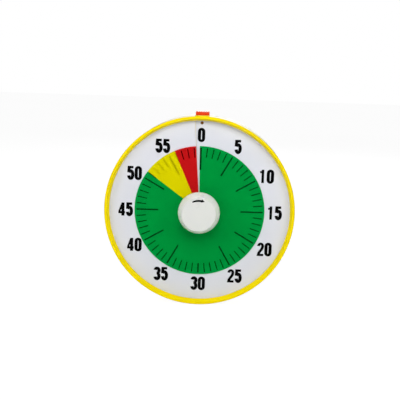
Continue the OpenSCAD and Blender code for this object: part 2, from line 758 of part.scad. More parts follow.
module rotor_magnet() color("dimgray") translate([motor_x, 0, motor_z]) difference() {
    bar(rotor_d / 2, can_back + 1, floor_back - can_wall - 0.8);
    bar(rotor_shaft_d / 2 + tight_fit, can_back, floor_back);
}

module rotor_shaft() color("silver")
    bar(rotor_shaft_d / 2, pinion_back - 0.2, floor_back - 0.1, motor_x, motor_z);

module motor_pinion() color("goldenrod") translate([motor_x, 0, motor_z]) slab(pinion_back, idler_mid + 0.2)
    difference() {
        polygon(gear_outline(pinion_teeth, motor_phase));
        circle(rotor_shaft_d / 2 + tight_fit);
    }

module movement_case() color("lightslategray") {
    difference() {
        union() {
            block(move_x0, move_x1, cover_front, floor_front, move_z0, move_z1);
            for (p = move_ears) {
                bar(ear_r, floor_back, floor_front, p[0], p[1]);
                inner = p[0] > 0 ? move_x1 - movement_wall : move_x0 + movement_wall;
                block(min(p[0], inner), max(p[0], inner), floor_back, floor_front, p[1] - ear_r, p[1] + ear_r);
            }
        }
        block(move_x0 + movement_wall, move_x1 - movement_wall, cover_front - 1, floor_back,
            move_z0 + movement_wall, move_z1 - movement_wall);
        bar(boss_r + slide_gap, floor_back - 1, floor_front + 1);
        bar(axle_d / 2 + tight_fit, floor_back - 1, floor_back + 0.9, idler_x, idler_z);
        for (p = move_ears) bar(movement_screw_d / 2 + 0.2, floor_back - 1, floor_front + 1, p[0], p[1]);
    }
    difference() {
        bar(axle_d / 2 + 1, idler_front + 0.5, floor_back + 0.1, idler_x, idler_z);
        bar(axle_d / 2 + tight_fit, idler_front, floor_back + 0.8, idler_x, idler_z);
    }
}

module movement_cover() color("slategray") difference() {
    block(move_x0, move_x1, cover_back, cover_front, move_z0, move_z1);
    bar(pivot_d / 2 + run_fit, cover_back - 1, cover_front + 1);
    bar(axle_d / 2 + tight_fit, cover_back - 1, cover_front + 1, idler_x, idler_z);
}

module movement_screws() color("silver") for (p = move_ears) difference() {
    union() {
        bar(movement_screw_d / 2, floor_back - 0.5, pan_front - 0.8, p[0], p[1]);
        bar(movement_screw_d, floor_back - 1.6, floor_back, p[0], p[1]);
    }
    translate([p[0], 0, p[1]]) cross_recess(2.2, 0.8, floor_back - 1.6);
}

module zero_switch() color("black") {
    x0 = shaft_r + 7.2;
    block(x0, move_x1 - movement_wall - 0.3, cam_back - 1, floor_back, -4, 4);
    block(shaft_r + 4.8, x0 + 0.2, cam_back + 0.4, cam_front - 0.4, -2.5, -1.9);
}

// ---- Button ----

module stop_button() color("orangered") {
    half = button_w / 2;
    ribs = floor((button_w - 1) / rib_pitch);
    block(-half, half, button_back + 0.4, button_front - 0.4, flange_top - flange_t, button_top - 0.4);
    for (i = [0:ribs]) let(x = rib_pitch * (i - ribs / 2))
        block(max(-half, x - rib_pitch / 4), min(half, x + rib_pitch / 4), button_back, button_front,
            flange_top - 0.1, button_top);
    block(-flange_x, flange_x, button_back, button_front + 0.5, flange_top - flange_t, flange_top);
    translate([0, -button_mid, stem_end]) cylinder(r = stem_r, h = flange_top - stem_end - 0.5);
}

module return_spring() color("silver") translate([0, -button_mid, shelf_top])
    coil(stem_r + 0.5 + return_wire / 2, return_wire, return_len, 5);

module button_switch() color("black") {
    block(-3, 3, board_front, board_front + 3, tact_top - 4.5, tact_top - 0.5);
    translate([0, -button_mid, tact_top - 0.6]) cylinder(r = 1, h = 0.6);
}

// ---- Circuit ----

module circuit_board() color("darkgreen") difference() {
    block(-board_x, board_x, board_back, board_front, board_z0, board_z1);
    for (x = peg_xs) for (z = peg_zs) bar(peg_r + run_fit, board_back - 1, board_front + 1, x, z);
}

module timer_chip() color("black")
    block(-chip_w / 2, chip_w / 2, board_back - 1.4, board_back,
        board_mid_z - chip_w / 2, board_mid_z + chip_w / 2);

module crystal() color("silver")
    translate([chip_w / 2 + 2, -board_back + crystal_r, board_mid_z - crystal_len / 2])
    cylinder(r = crystal_r, h = crystal_len);

module sounder() color("black") difference() {
    bar(sounder_d / 2, case_wall + sounder_lift, case_wall + sounder_lift + sounder_h, side_x, side_z);
    bar(1.2, case_wall, case_wall + 2, side_x, side_z);
}

module sound_switch_body() color("black") difference() {
    block(-side_x - 4.5 - switch_travel / 2, -side_x + 4.5 + switch_travel / 2, case_wall, case_wall + 4.4,
        side_z - 4.4, side_z + 4.4);
    block(-side_x - 2.5 - switch_travel / 2, -side_x + 2.5 + switch_travel / 2, case_wall - 1, case_wall + 2.6,
        side_z - 3, side_z + 3);
}

module sound_slider() color("dimgray") {
    x0 = -side_x - switch_travel / 2;
    block(x0 - 2, x0 + 2, 0.3, case_wall + 0.6, side_z - 1.5, side_z + 1.5);
    block(x0 - 2, x0 + 2, case_wall + slide_gap, case_wall + 2.3, side_z - 2.7, side_z + 2.7);
}

// ---- Battery bay ----

module battery() color("darkslategray") translate([cell_x0, -cell_depth, cell_z]) rotate([0, 90, 0]) {
    cylinder(r = cell_r, h = cell_len - nub_len);
    cylinder(r = 2.75, h = cell_len);
}

module contact_spring() color("silver") translate([cell_x0 - contact_len + 0.05, -cell_depth, cell_z])
    rotate([0, 90, 0]) coil((contact_spring_d - contact_wire) / 2, contact_wire, contact_len - 0.1, 4);

module contact_plates() color("silver") {
    half = contact_w / 2;
    for (x = [-bay_x, bay_x - contact_t])
        block(x, x + contact_t, cell_depth - half, cell_depth + half, cell_z - half, cell_z + half);
}

module battery_door() color("ivory") difference() {
    union() {
        block(-door_x, door_x, 0, door_t, door_z, bay_z1 - slide_gap);
        translate([-door_x, -barrel_r, door_z]) rotate([0, 90, 0]) cylinder(r = barrel_r, h = 2 * door_x);
        translate([-bay_x - 1.2, -barrel_r, door_z]) rotate([0, 90, 0])
            cylinder(r = trunnion_d / 2, h = 2 * bay_x + 2.4);
    }
    intersection() {
        bar(9, -1, 0.7, 0, bay_z1 + 2);
        block(-10, 10, -1, 0.7, bay_z1 - 6.5, bay_z1 - 1.2);
    }
}

// ---- Stand leg and fixings ----

module stand_leg() color("ivory") difference() {
    union() {
        slab(0, leg_t) leg_outline(0);
        translate([-leg_w / 2 + 6, -leg_pin_depth, -leg_drop]) rotate([0, 90, 0])
            cylinder(r = leg_barrel_d / 2, h = leg_w - 12);
    }
    translate([-leg_w, -leg_pin_depth, -leg_drop]) rotate([0, 90, 0])
        cylinder(r = leg_pin_d / 2 + run_fit, h = 2 * leg_w);
    bar(6, -1, leg_t + 1, 0, leg_foot_z);
    slab(-1, 0.8) polygon([[-leg_w / 2 + 9, -leg_drop - 14], [leg_w / 2 - 9, -leg_drop - 14],
        [leg_end_w / 2 - 6, leg_foot_z + 14], [-leg_end_w / 2 + 6, leg_foot_z + 14]]);
}

module leg_pin() color("silver") {
    reach = leg_w / 2 - 6 + slide_gap + 3;
    translate([-reach, -leg_pin_depth, -leg_drop]) rotate([0, 90, 0])
        cylinder(r = leg_pin_d / 2, h = 2 * reach);
}

module board_magnets() color("dimgray") for (phi = [45:90:315]) around(magnet_ring_r, phi)
    bar(magnet_d / 2, magnet_skin, magnet_skin + magnet_t);

module case_screws() color("silver") for (phi = screw_phis) around(screw_ring_r, phi) difference() {
    union() {
        bar(case_head_d / 2, screw_seat - 2.2, screw_seat);
        bar(case_screw_d / 2, screw_seat - 0.5, panel_back - 3);
    }
    cross_recess(3.4, 1.2, screw_seat - 2.2);
}

bezel();
front_case();
rear_case();
dial();
dial_screw();
timer_disc();
disc_hub();
knob();
shaft();
zero_cam();
main_wheel();
clutch_spring();
retaining_ring();
idler_wheel();
idler_axle();
motor_can();
motor_plate();
motor_coil();
rotor_magnet();
rotor_shaft();
motor_pinion();
movement_case();
movement_cover();
movement_screws();
zero_switch();
stop_button();
return_spring();
circuit_board();
button_switch();
timer_chip();
crystal();
sounder();
sound_switch_body();
sound_slider();
battery();
contact_spring();
contact_plates();
battery_door();
stand_leg();
leg_pin();
board_magnets();
case_screws();
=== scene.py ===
"""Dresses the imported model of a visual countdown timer: rim, case, dial print, tinted disc, knob, button and works."""

import json
from math import atan2, cos, degrees, hypot, radians, sin

import bmesh
import bpy
from mathutils import Matrix, Quaternion, Vector


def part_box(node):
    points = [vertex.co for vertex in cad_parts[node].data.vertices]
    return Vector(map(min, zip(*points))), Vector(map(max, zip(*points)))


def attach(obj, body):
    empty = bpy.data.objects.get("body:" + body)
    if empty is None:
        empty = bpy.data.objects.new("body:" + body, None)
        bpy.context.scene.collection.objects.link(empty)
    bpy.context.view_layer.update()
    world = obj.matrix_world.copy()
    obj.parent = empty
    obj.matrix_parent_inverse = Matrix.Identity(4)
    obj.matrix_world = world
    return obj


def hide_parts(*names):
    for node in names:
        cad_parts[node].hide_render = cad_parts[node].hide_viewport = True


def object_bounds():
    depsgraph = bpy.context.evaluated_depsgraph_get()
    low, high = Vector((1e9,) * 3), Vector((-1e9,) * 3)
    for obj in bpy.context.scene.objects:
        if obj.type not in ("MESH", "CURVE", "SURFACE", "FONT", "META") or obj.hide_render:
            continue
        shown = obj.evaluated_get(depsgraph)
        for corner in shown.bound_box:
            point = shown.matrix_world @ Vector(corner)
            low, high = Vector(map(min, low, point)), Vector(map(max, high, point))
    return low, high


bl_info = {
    "name": "Visual countdown timer",
    "version": (1, 0, 0),
    "blender": (4, 5, 0),
    "location": "View3D > Sidebar > Timer",
    "description": "Builds the visible pieces and finishes of a round countdown timer around its packed model",
    "category": "Object",
}

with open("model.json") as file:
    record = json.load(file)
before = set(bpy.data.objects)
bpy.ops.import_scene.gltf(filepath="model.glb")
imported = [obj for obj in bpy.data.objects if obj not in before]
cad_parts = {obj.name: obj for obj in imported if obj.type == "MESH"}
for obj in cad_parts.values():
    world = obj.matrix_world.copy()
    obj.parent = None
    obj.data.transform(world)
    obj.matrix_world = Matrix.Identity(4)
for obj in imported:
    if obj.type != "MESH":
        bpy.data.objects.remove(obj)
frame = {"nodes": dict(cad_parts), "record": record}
CAD_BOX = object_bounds()

MM = 0.001
MERGE = 2e-7
FACE_STEPS = 288  # facets round the rim and the dial


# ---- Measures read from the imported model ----

def box_mm(node):
    """Least x, least depth, least z, and the greatest of each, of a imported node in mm."""
    low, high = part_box(node)
    return (low.x / MM, -high.y / MM, low.z / MM, high.x / MM, -low.y / MM, high.z / MM)


BEZEL, KNOB, DISC, BUTTON, SCREW = (box_mm(n) for n in ("bezel", "knob", "timer_disc", "stop_button", "dial_screw"))

# Middle of each number of the dial, as (x, z) in mm
NUMBER_PLACES = {
    0: (-0.2, 76.0), 5: (36.4, 65.4), 10: (65.7, 36.9), 15: (75.2, 0.3), 20: (66.5, -37.1), 25: (37.6, -65.7),
    30: (0.5, -74.7), 35: (-37.2, -66.1), 40: (-64.6, -36.9), 45: (-74.0, -1.0), 50: (-65.8, 35.9), 55: (-38.2, 64.0),
}

# Arrow on the knob, as (radius in mm, degrees clockwise from the top, width in mm): a stem that widens, and a head
ARROW = [(13.65, 3 * i - 28, min(2.0, 1.25 + 0.12 * i)) for i in range(14)] + [(13.95, 11.2, 3.5), (14.1, 24.0, 0.1)]


def srgb(red, green, blue):
    """Linear colour of an sRGB one given in 0 to 255."""
    return tuple(c / 3294.6 if c <= 10 else ((c / 255 + 0.055) / 1.055) ** 2.4 for c in (red, green, blue))


def amount(name, description, default, **settings):
    """A number property; angles are in degrees."""
    return bpy.props.FloatProperty(name=name, description=description, default=default, precision=4, **settings)


def length(name, description, default):
    """A length property in mm."""
    return amount(name, description, default, min=0)


def colour(name, description, *rgb):
    """A colour property from an sRGB colour in 0 to 255."""
    return bpy.props.FloatVectorProperty(name=name, description=description, default=srgb(*rgb), subtype="COLOR",
                                         size=3, min=0, max=1)


class TimerSizes(bpy.types.PropertyGroup):
    """Sizes of the visible pieces, in mm. Depths run from the back face to the front."""

    rim_r: length("Rim radius", "Outer radius of the yellow rim", BEZEL[3])
    rim_w: length("Rim width", "Width of the rim as seen from the front", 4.6)
    rim_front: length("Rim crest", "Depth of the rim's crest", BEZEL[4])
    rim_back: length("Rim back", "Depth of the rim's back edge", BEZEL[1])
    rim_seat: length("Rim seat", "Depth at which the rim sits on the case", 33.0)
    rim_round: length("Rim rounding", "Radius of the rim's outer edge", 1.7)
    rim_taper: length("Rim taper", "How much the rim narrows towards its back edge", 0.7)
    lip_h: length("Lip", "Height of the upright inside of the rim's lip", 0.9)
    bead_drop: length("Bead", "From the rim's seat back to the bead that snaps over the case", 3.5)
    skirt_t: length("Skirt", "Thickness of the rim's skirt", 1.95)
    guard_w: length("Guard width", "Width of the raised guard in front of the button", 14.3)
    guard_h: length("Guard height", "Height of the guard above the rim", BEZEL[5] - BEZEL[3])
    dial_r: length("Dial radius", "Radius of the dial sheet", 91.3)
    dial_hole_r: length("Dial hole", "Radius of the hole in the dial sheet", 6.8)
    dial_low: length("Dial surface", "Depth of the dial's surface where the cut starts", 31.2)
    sheet_t: length("Sheet", "Thickness of the dial sheet", 0.5)
    pitch: length("Pitch", "Rise of the dial and of the disc over one turn", 1.5)
    film_low: length("Film", "Depth of the film's back where the cut starts", 31.5)
    film_t: length("Film thickness", "Thickness of the tinted film", 0.4)
    film_r: length("Film radius", "Radius of the tinted disc", DISC[3])
    hub_r: length("Hub radius", "Radius of the disc's hub", 6.02)
    knob_r: length("Knob radius", "Largest radius of the knob", KNOB[3])
    knob_back: length("Knob back", "Depth of the knob's foot", KNOB[1])
    knob_front: length("Knob front", "Depth of the knob's flat face", KNOB[4])
    foot_r: length("Knob foot", "Radius of the knob's foot", 16.0)
    bore_r: length("Knob bore", "Radius of the knob's bore", 3.1)
    grip_end_r: length("Grip end", "Radius of the grip at its front end", 17.7)
    face_r: length("Knob face", "Radius of the knob's flat face", 16.6)
    flare_h: length("Flare", "Height of the flare from the foot to the grip", 9.6)
    grip_h: length("Grip", "Height of the fluted grip", 7.8)
    flute_deep: length("Flute depth", "Depth of a flute", 0.6)
    flutes: bpy.props.IntProperty(name="Flutes", description="Flutes round the grip", default=90, min=12)
    button_w: length("Button width", "Width of the button", 13.5)
    button_back: length("Button back", "Depth of the button's back face", 16.5)
    button_front: length("Button front", "Depth of the button's front face", 26.5)
    button_top: length("Button top", "Height of the button's top", BUTTON[5])
    flange_low: length("Flange", "Height of the lower face of the button's flange", 88.735)
    flange_t: length("Flange thickness", "Thickness of the button's flange", 1.6)
    stem_r: length("Stem", "Radius of the button's stem", 2.3)
    rib_pitch: length("Rib pitch", "Pitch of the ribs on the button", 2.2)
    rib_deep: length("Rib depth", "Depth of the grooves between the ribs", 0.4)


class TimerPrint(bpy.types.PropertyGroup):
    """Print and cut of the dial and sectors of the disc. Lengths in mm, angles in degrees clockwise from the top."""

    number_h: length("Number height", "Height of the numbers", 14.0)
    number_w: length("Digit width", "Width of a digit", 7.15)
    side_w: length("Upright stroke", "Width of the digits' upright strokes", 3.05)
    cross_w: length("Level stroke", "Width of the digits' level strokes", 2.45)
    digit_gap: length("Digit gap", "Gap between two digits", 0.4)
    print_phi: amount("Print angle", "Angle by which the print is turned on the case", -0.4)
    tick_r: length("Tick start", "Radius at which the minute marks start", 63.2)
    minor_len: length("Minor mark", "Length of a minute mark", 9.4)
    major_len: length("Major mark", "Length of a five-minute mark", 22.0)
    minor_w: length("Minor mark width", "Width of a minute mark", 1.05)
    major_w: length("Major mark width", "Width of a five-minute mark", 1.5)
    zero_w: length("Zero mark width", "Width of the mark at zero", 1.9)
    ink_t: length("Ink", "Height of the print above the sheet", 0.035)
    slit_phi: amount("Cut", "Angle of the radial cut", -4.25)
    slit_open: amount("Cut opening", "Angle that the cut takes out of the sheet", 0.12)
    edge_w: length("Cut core and painted light", "Width of the pale line along the cut", 0.4)
    trail_phi: amount("Trailing edge", "Angle of the disc's green edge", -1.3)
    green_phi: amount("End of green", "Angle at which green gives way to yellow", 306.0)
    yellow_phi: amount("End of yellow", "Angle at which yellow gives way to red", 336.1)
    lead_phi: amount("Leading edge", "Angle of the disc's red edge", 355.5)


class TimerColours(bpy.types.PropertyGroup):
    """Colours of the finishes."""

    rim: colour("Rim", "Yellow of the rim", 255, 228, 0)
    case: colour("Housing", "Warm white of the case", 239, 234, 200)
    sheet: colour("Dial sheet", "Pale grey of the dial sheet", 219, 221, 230)
    # Cream of the strip along the cut: the sheet's core colour, with painted light for the lit face of the cut
    cut: colour("Cut core and painted light", "Cream of the cut's edge", 232, 225, 208)
    ink: colour("Ink", "Black of the print", 2, 2, 2)
    knob: colour("Knob", "White of the knob", 226, 227, 223)
    button: colour("Button", "Orange-red of the button", 238, 71, 18)
    green: colour("Green film", "Green sector of the disc", 0, 148, 68)
    green_through: colour("Green light", "Light that passes the green sector", 0, 217, 138)
    yellow: colour("Yellow film", "Yellow sector of the disc", 255, 240, 0)
    yellow_through: colour("Yellow light", "Light that passes the yellow sector", 255, 252, 0)
    red: colour("Red film", "Red sector of the disc", 226, 44, 44)
    clear: colour("Clear film", "Untinted back of the film", 250, 250, 250)
    red_through: colour("Red light", "Light that passes the red sector", 243, 88, 92)
    movement: colour("Movement case", "Grey of the movement's case", 122, 128, 136)
    black: colour("Black plastic", "Black of switches and chips", 30, 30, 32)
    gear: colour("Gears", "Natural white of the gears", 238, 238, 230)
    board: colour("Board", "Green of the circuit board", 22, 84, 44)
    jacket: colour("Cell jacket", "Dark jacket of the cell", 52, 58, 64)
    steel: colour("Steel", "Plated steel", 198, 199, 203)
    # Brass darkened below its lit tone: painted shade for the rim's shadow on the dial's screw, shared with the pinion
    brass: colour("Brass", "Brass of the dial's screw and the pinion", 112, 74, 38)
    copper: colour("Winding", "Enamelled copper wire", 188, 104, 62)
    ferrite: colour("Magnet", "Dark grey of the magnets", 62, 62, 66)
    floor: colour("Floor", "Pale floor", 240, 240, 240)


class TimerView(bpy.types.PropertyGroup):
    """Camera and light."""

    azimuth: amount("Azimuth", "Angle of the camera round the timer", 1.83)
    elevation: amount("Elevation", "Angle of the camera above the horizon", 10.0)
    roll: amount("Roll", "Tilt of the camera round its line of sight", 1.8)
    distance: amount("Distance", "From the camera to the dial", 0.9538, unit="LENGTH", subtype="DISTANCE")
    lens: amount("Lens", "Focal length in mm on a 36 mm sensor", 85.79)
    shift_x: amount("Shift X", "Sideways shift of the frame", 0.0017)
    shift_y: amount("Shift Y", "Upward shift of the frame", 0.0274)
    fill: amount("Fill", "Strength of the light from all round", 0.08)
    key: amount("Key", "Power that the lamps share out, in W", 3.8)


# ---- Building ----

def sizes():
    """The sizes that the panel holds."""
    return bpy.context.scene.timer_sizes


def printing():
    """The layout of the print that the panel holds."""
    return bpy.context.scene.timer_print


def palette():
    """The colours that the panel holds."""
    return bpy.context.scene.timer_colours


def at(radius, phi, depth):
    """Place at a radius and an angle on the face, at a depth, in metres."""
    a = radians(phi)
    return Vector((radius * sin(a), -depth, radius * cos(a))) * MM


def arc(x, y, rx, ry, start, end, steps):
    """Points of an elliptical arc."""
    angles = [radians(start + (end - start) * i / steps) for i in range(steps + 1)]
    return [(x + rx * cos(a), y + ry * sin(a)) for a in angles]


def outline(bm, points, phi=0.0, closed=True):
    """Vertices and edges of an outline of (radius, depth) points, in the plane through the shaft at an angle."""
    verts = [bm.verts.new(at(r, phi, d)) for r, d in points]
    nexts = verts[1:] + verts[:1] if closed else verts[1:]
    return verts + [bm.edges.new(pair) for pair in zip(verts, nexts)]


def spin(bm, geom, angle, steps, rise=0.0):
    """Spins an outline clockwise round the shaft, rising towards the front by a height in mm."""
    full = abs(angle) == 360 and not rise
    return bmesh.ops.spin(bm, geom=geom, cent=(0, 0, 0), axis=(0, 1, 0), dvec=(0, -rise * MM / steps, 0),
                          angle=radians(angle), steps=steps, use_merge=full)["geom_last"]


def close_ends(bm):
    """Fills the open ends of a part spin."""
    bmesh.ops.remove_doubles(bm, verts=bm.verts, dist=MERGE)
    bmesh.ops.holes_fill(bm, edges=[e for e in bm.edges if e.is_boundary], sides=0)


def block(bm, low, high, bevel=0.0, segments=2):
    """A box between two corners of (x, depth, z) in mm, with its edges rounded."""
    made = bmesh.ops.create_cube(bm, size=1)["verts"]
    span = [(b - a) * MM for a, b in zip(low, high)]
    mid = [(a + b) / 2 * MM for a, b in zip(low, high)]
    bmesh.ops.scale(bm, vec=span, verts=made)
    bmesh.ops.translate(bm, vec=(mid[0], -mid[1], mid[2]), verts=made)
    if bevel:
        edges = list({e for v in made for e in v.link_edges})
        bmesh.ops.bevel(bm, geom=edges, offset=bevel * MM, offset_type="OFFSET", segments=segments, profile=0.5,
                        affect="EDGES", clamp_overlap=True, material=-1)


def placed(name, data, place=(0, 0, 0), rotation=(0, 0, 0)):
    """A new object of a mesh, a lamp or a camera in the scene."""
    made = bpy.data.objects.new(name, data)
    made.location = place
    made.rotation_euler = rotation
    bpy.context.scene.collection.objects.link(made)
    return made


def piece(name, bm, body, materials, stands_for=(), smooth=30):
    """Turns a bmesh into a piece that rides on a body, smooth up to an angle, with outward faces."""
    bmesh.ops.remove_doubles(bm, verts=bm.verts, dist=MERGE)
    bmesh.ops.recalc_face_normals(bm, faces=bm.faces)
    mesh = bpy.data.meshes.new(name)
    bm.to_mesh(mesh)
    bm.free()
    if mesh.has_custom_normals:
        mesh.attributes.remove(mesh.attributes["custom_normal"])
    mesh.shade_smooth()
    mesh.set_sharp_from_angle(angle=radians(smooth))
    made = placed(name, mesh)
    for material in materials:
        mesh.materials.append(material)
    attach(made, body)
    if stands_for:
        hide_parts(*stands_for)
    return made


def smoothed(node, material):
    """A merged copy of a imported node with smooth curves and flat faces, which takes the node's place."""
    record = frame["record"]
    body = next(b for b, nodes in record["behaviour"]["bodies"].items() if node in nodes)
    bm = bmesh.new()
    bm.from_mesh(frame["nodes"][node].data)
    skin = piece(node + "_skin", bm, body, [material], [node])
    shading = skin.modifiers.new("flat faces stay flat", "WEIGHTED_NORMAL")
    shading.weight = 100
    shading.keep_sharp = True


def joined(name, first, other, operation="UNION"):
    """Adds a piece to the first one or cuts it from that; the other piece is used up."""
    change = first.modifiers.new(name, "BOOLEAN")
    change.operation = operation
    change.solver = "EXACT"
    change.object = other
    graph = bpy.context.evaluated_depsgraph_get()
    mesh = bpy.data.meshes.new_from_object(first.evaluated_get(graph))
    first.modifiers.clear()
    first.data = mesh
    bpy.data.objects.remove(other)


# ---- Print ----

def mitred(path, nib, closed):
    """Pairs of points either side of a path, half a nib away from it, with mitred corners."""
    runs = []
    for (x0, z0), (x1, z1) in zip(path, path[1:] + path[:1] if closed else path[1:]):
        size = hypot(x1 - x0, z1 - z0)
        dx, dz = (x1 - x0) / size, (z1 - z0) / size
        runs.append((dx, dz, -dz * nib[0] / 2, dx * nib[1] / 2))
    pairs, straight = [], 0.02
    for i, (x, z) in enumerate(path):
        dx0, dz0, ox0, oz0 = runs[i - 1] if closed or i else runs[0]
        dx1, dz1, ox1, oz1 = runs[min(i, len(runs) - 1)]
        cross = dx0 * dz1 - dz0 * dx1
        if abs(cross) < straight:
            ox, oz = (ox0 + ox1) / 2, (oz0 + oz1) / 2
        else:
            t = ((ox1 - ox0) * dz1 - (oz1 - oz0) * dx1) / cross
            ox, oz = ox0 + t * dx0, oz0 + t * dz0
        pairs.append(((x + ox, z + oz), (x - ox, z - oz)))
    return pairs


def radial(phi, radii, *sides):
    """Points beside a radial line of the face, at some radii, with their distances clockwise from the line."""
    a = radians(phi)
    return [[(r * sin(a) + x * cos(a), r * cos(a) - x * sin(a)) for x in sides] for r in radii]


def strip(bm, pairs, surface, high, sunk=0.03):
    """A thin strip of print through pairs of (x, z) points: an edge extruded from pair to pair, then thickened.

    surface gives the depth of what it is printed on; the strip stands high above that and reaches sunk into it.
    """
    verts = [bm.verts.new((x * MM, 0, z * MM)) for x, z in pairs[0]]
    edge = bm.edges.new(verts)
    faces = []
    for pair in pairs[1:]:
        made = bmesh.ops.extrude_edge_only(bm, edges=[edge])["geom"]
        ends = [g for g in made if isinstance(g, bmesh.types.BMVert)]
        ends.sort(key=lambda v: (v.co - verts[0].co).length)
        for v, (x, z) in zip(ends, pair):
            v.co = (x * MM, 0, z * MM)
        faces += [g for g in made if isinstance(g, bmesh.types.BMFace)]
        edge = next(g for g in made if isinstance(g, bmesh.types.BMEdge))
        verts = ends
    lower = list({v for f in faces for v in f.verts})
    raised = bmesh.ops.extrude_face_region(bm, geom=faces, use_keep_orig=True)["geom"]
    upper = [g for g in raised if isinstance(g, bmesh.types.BMVert)]
    for verts, lift in ((lower, -sunk), (upper, high)):
        for v in verts:
            v.co.y = -(surface(v.co.x / MM, v.co.z / MM) + lift) * MM


def dial_depth(x, z):
    """Depth of the dial's surface at (x, z) in mm, which rises clockwise from the cut."""
    s, p = sizes(), printing()
    phi = degrees(atan2(x, z))
    return s.dial_low + s.pitch * ((phi - p.slit_phi) % 360) / 360


def digit_strokes(digit, w, h):
    """Strokes of a digit about its middle: path, whether it is closed, and its weight.

    Half the digit's width and half its height, along the middle of its strokes, are w and h.
    """
    return {
        "0": [(arc(0, h - 1.15 * w, w, 1.15 * w, 0, 180, 18) + arc(0, 1.15 * w - h, w, 1.15 * w, 180, 360, 18), True,
               1.06)],
        "1": [([(0, 1.16 * h), (0, -1.16 * h)], False, 0.84),
              ([(0.1 * w, 0.96 * h), (-0.5 * w, 0.76 * h), (-1.4 * w, 0.7 * h)], False, 0.8)],
        "2": [(arc(0, 0.54 * h, w, 0.46 * h, 176, -22, 18)
               + [(0.62 * w, 0.06 * h), (-0.2 * w, -0.34 * h), (-0.78 * w, -0.66 * h), (-w, -h), (1.5 * w, -h)],
               False, 0.95)],
        "3": [(arc(0, 0.54 * h, 0.95 * w, 0.46 * h, 168, -90, 20) + [(-0.25 * w, 0.08 * h)], False, 1.1),
              ([(-0.25 * w, 0.08 * h)] + arc(0, -0.46 * h, 0.98 * w, 0.54 * h, 90, -168, 20), False, 1.1)],
        "4": [([(0.3 * w, 1.1 * h), (-1.35 * w, -0.5 * h)], False, 0.7),
              ([(-1.75 * w, -0.56 * h), (1.55 * w, -0.56 * h)], False, 1.0),
              ([(0.5 * w, 1.16 * h), (0.5 * w, -1.16 * h)], False, 1.0)],
        "5": [([(1.3 * w, h), (-0.8 * w, h), (-0.95 * w, 0.06 * h)], False, 1.03),
              (arc(0, -0.3 * h, w, 0.7 * h, 150, -168, 22), False, 1.08)],
    }[digit]


def number(bm, minute):
    """The number of a minute on the dial, upright."""
    p, text, (x, z) = printing(), str(minute), NUMBER_PLACES[minute]
    half_w, half_h = (p.number_w - p.side_w) / 2, (p.number_h - p.cross_w) / 2
    step, layer_t = p.number_w + p.digit_gap, 0.004
    for place, digit in enumerate(text):
        middle = x + step * (place - (len(text) - 1) / 2)
        for layer, (path, closed, weight) in enumerate(digit_strokes(digit, half_w, half_h)):
            nib = (p.side_w * weight, p.cross_w * weight)
            pairs = mitred([(middle + a, z + b) for a, b in path], nib, closed)
            if closed:
                pairs.append(pairs[0])
            strip(bm, pairs, dial_depth, p.ink_t - layer_t * layer)


def mark(bm, minute):
    """A minute mark of the dial, which starts just inside the disc's edge and points to the shaft."""
    p = printing()
    span = p.minor_len if minute % 5 or minute == 30 else p.major_len
    width = p.minor_w if minute % 5 else p.major_w if minute else p.zero_w
    pairs = radial(6 * minute + p.print_phi, (p.tick_r, p.tick_r - span), -width / 2, width / 2)
    strip(bm, pairs, dial_depth, p.ink_t)


# ---- Finishes ----

# Plastics and prints: roughness, drift of tone, grain per metre, depth of the grain, wear of the edges, gloss, and how
# far light soaks in
PLASTICS = {
    "Rim plastic": (0.36, 0.012, 2400.0, 0.05, 0.1, 0.03, 0.0),
    "Housing plastic": (0.44, 0.015, 3600.0, 0.16, 0.1, 0.25, 0.0),
    "Dial sheet": (0.5, 0.012, 6500.0, 0.06, 0.0, 0.5, 0.0),
    "Cut core and painted light": (0.5, 0.012, 6500.0, 0.06, 0.0, 0.5, 0.0),
    "Ink": (0.6, 0.1, 5000.0, 0.05, 0.0, 0.02, 0.0),
    "Hub plastic": (0.4, 0.01, 3200.0, 0.08, 0.2, 0.5, 0.0),
    "Knob plastic": (0.32, 0.01, 3200.0, 0.08, 0.0, 0.5, 0.5),
    # The grip's row finishes the knob's white painted lighter, as light on its flutes
    "Grip plastic painted lighter": (0.3, 0.01, 3200.0, 0.08, 0.4, 0.9, 0.8),
    "Button plastic": (0.34, 0.02, 2600.0, 0.08, 0.15, 0.22, 0.0),
    "Gear plastic": (0.36, 0.02, 2600.0, 0.05, 0.3, 0.5, 0.0),
    "Movement plastic": (0.5, 0.03, 3200.0, 0.2, 0.3, 0.5, 0.0),
    "Black plastic": (0.52, 0.05, 4000.0, 0.2, 0.3, 0.5, 0.0),
    "Slider plastic": (0.46, 0.03, 3000.0, 0.15, 0.3, 0.5, 0.0),
}

# Group sockets by the type of the value that they start with
SOCKET_TYPES = {type(None): "NodeSocketVector", tuple: "NodeSocketColor", float: "NodeSocketFloat"}
WHITE, LIGHT_GREY, GREY, DARK_GREY = ((tone, tone, tone, 1.0) for tone in (1.0, 0.9, 0.8, 0.4))


def feed(tree, sockets, values):
    """Gives sockets their values, or links them to the sockets that feed them."""
    for key, value in values.items():
        if isinstance(value, bpy.types.NodeSocket):
            tree.links.new(value, sockets[key])
        else:
            sockets[key].default_value = value


def add(tree, kind, inputs, **settings):
    """A node of one kind, with its settings and its sockets' values or links."""
    made = tree.nodes.new(kind)
    for key, value in settings.items():
        setattr(made, key, value)
    feed(tree, made.inputs, inputs)
    return made


# The next eight functions add a node and return the socket of its result

def blend_colour(tree, factor, first, second):
    """Mix of two colours."""
    return add(tree, "ShaderNodeMix", {0: factor, 6: first, 7: second}, data_type="RGBA").outputs[2]


def blend_shader(tree, factor, first, second):
    """Mix of two shaders."""
    return add(tree, "ShaderNodeMixShader", {0: factor, 1: first, 2: second}).outputs[0]


def ranged(tree, value, low, high, to_low, to_high):
    """A value mapped from one range to another."""
    return add(tree, "ShaderNodeMapRange", {"Value": value, "From Min": low, "From Max": high, "To Min": to_low,
                                            "To Max": to_high}).outputs[0]


def maths(tree, operation, *values):
    """An operation on two or three values."""
    return add(tree, "ShaderNodeMath", dict(enumerate(values)), operation=operation).outputs[0]


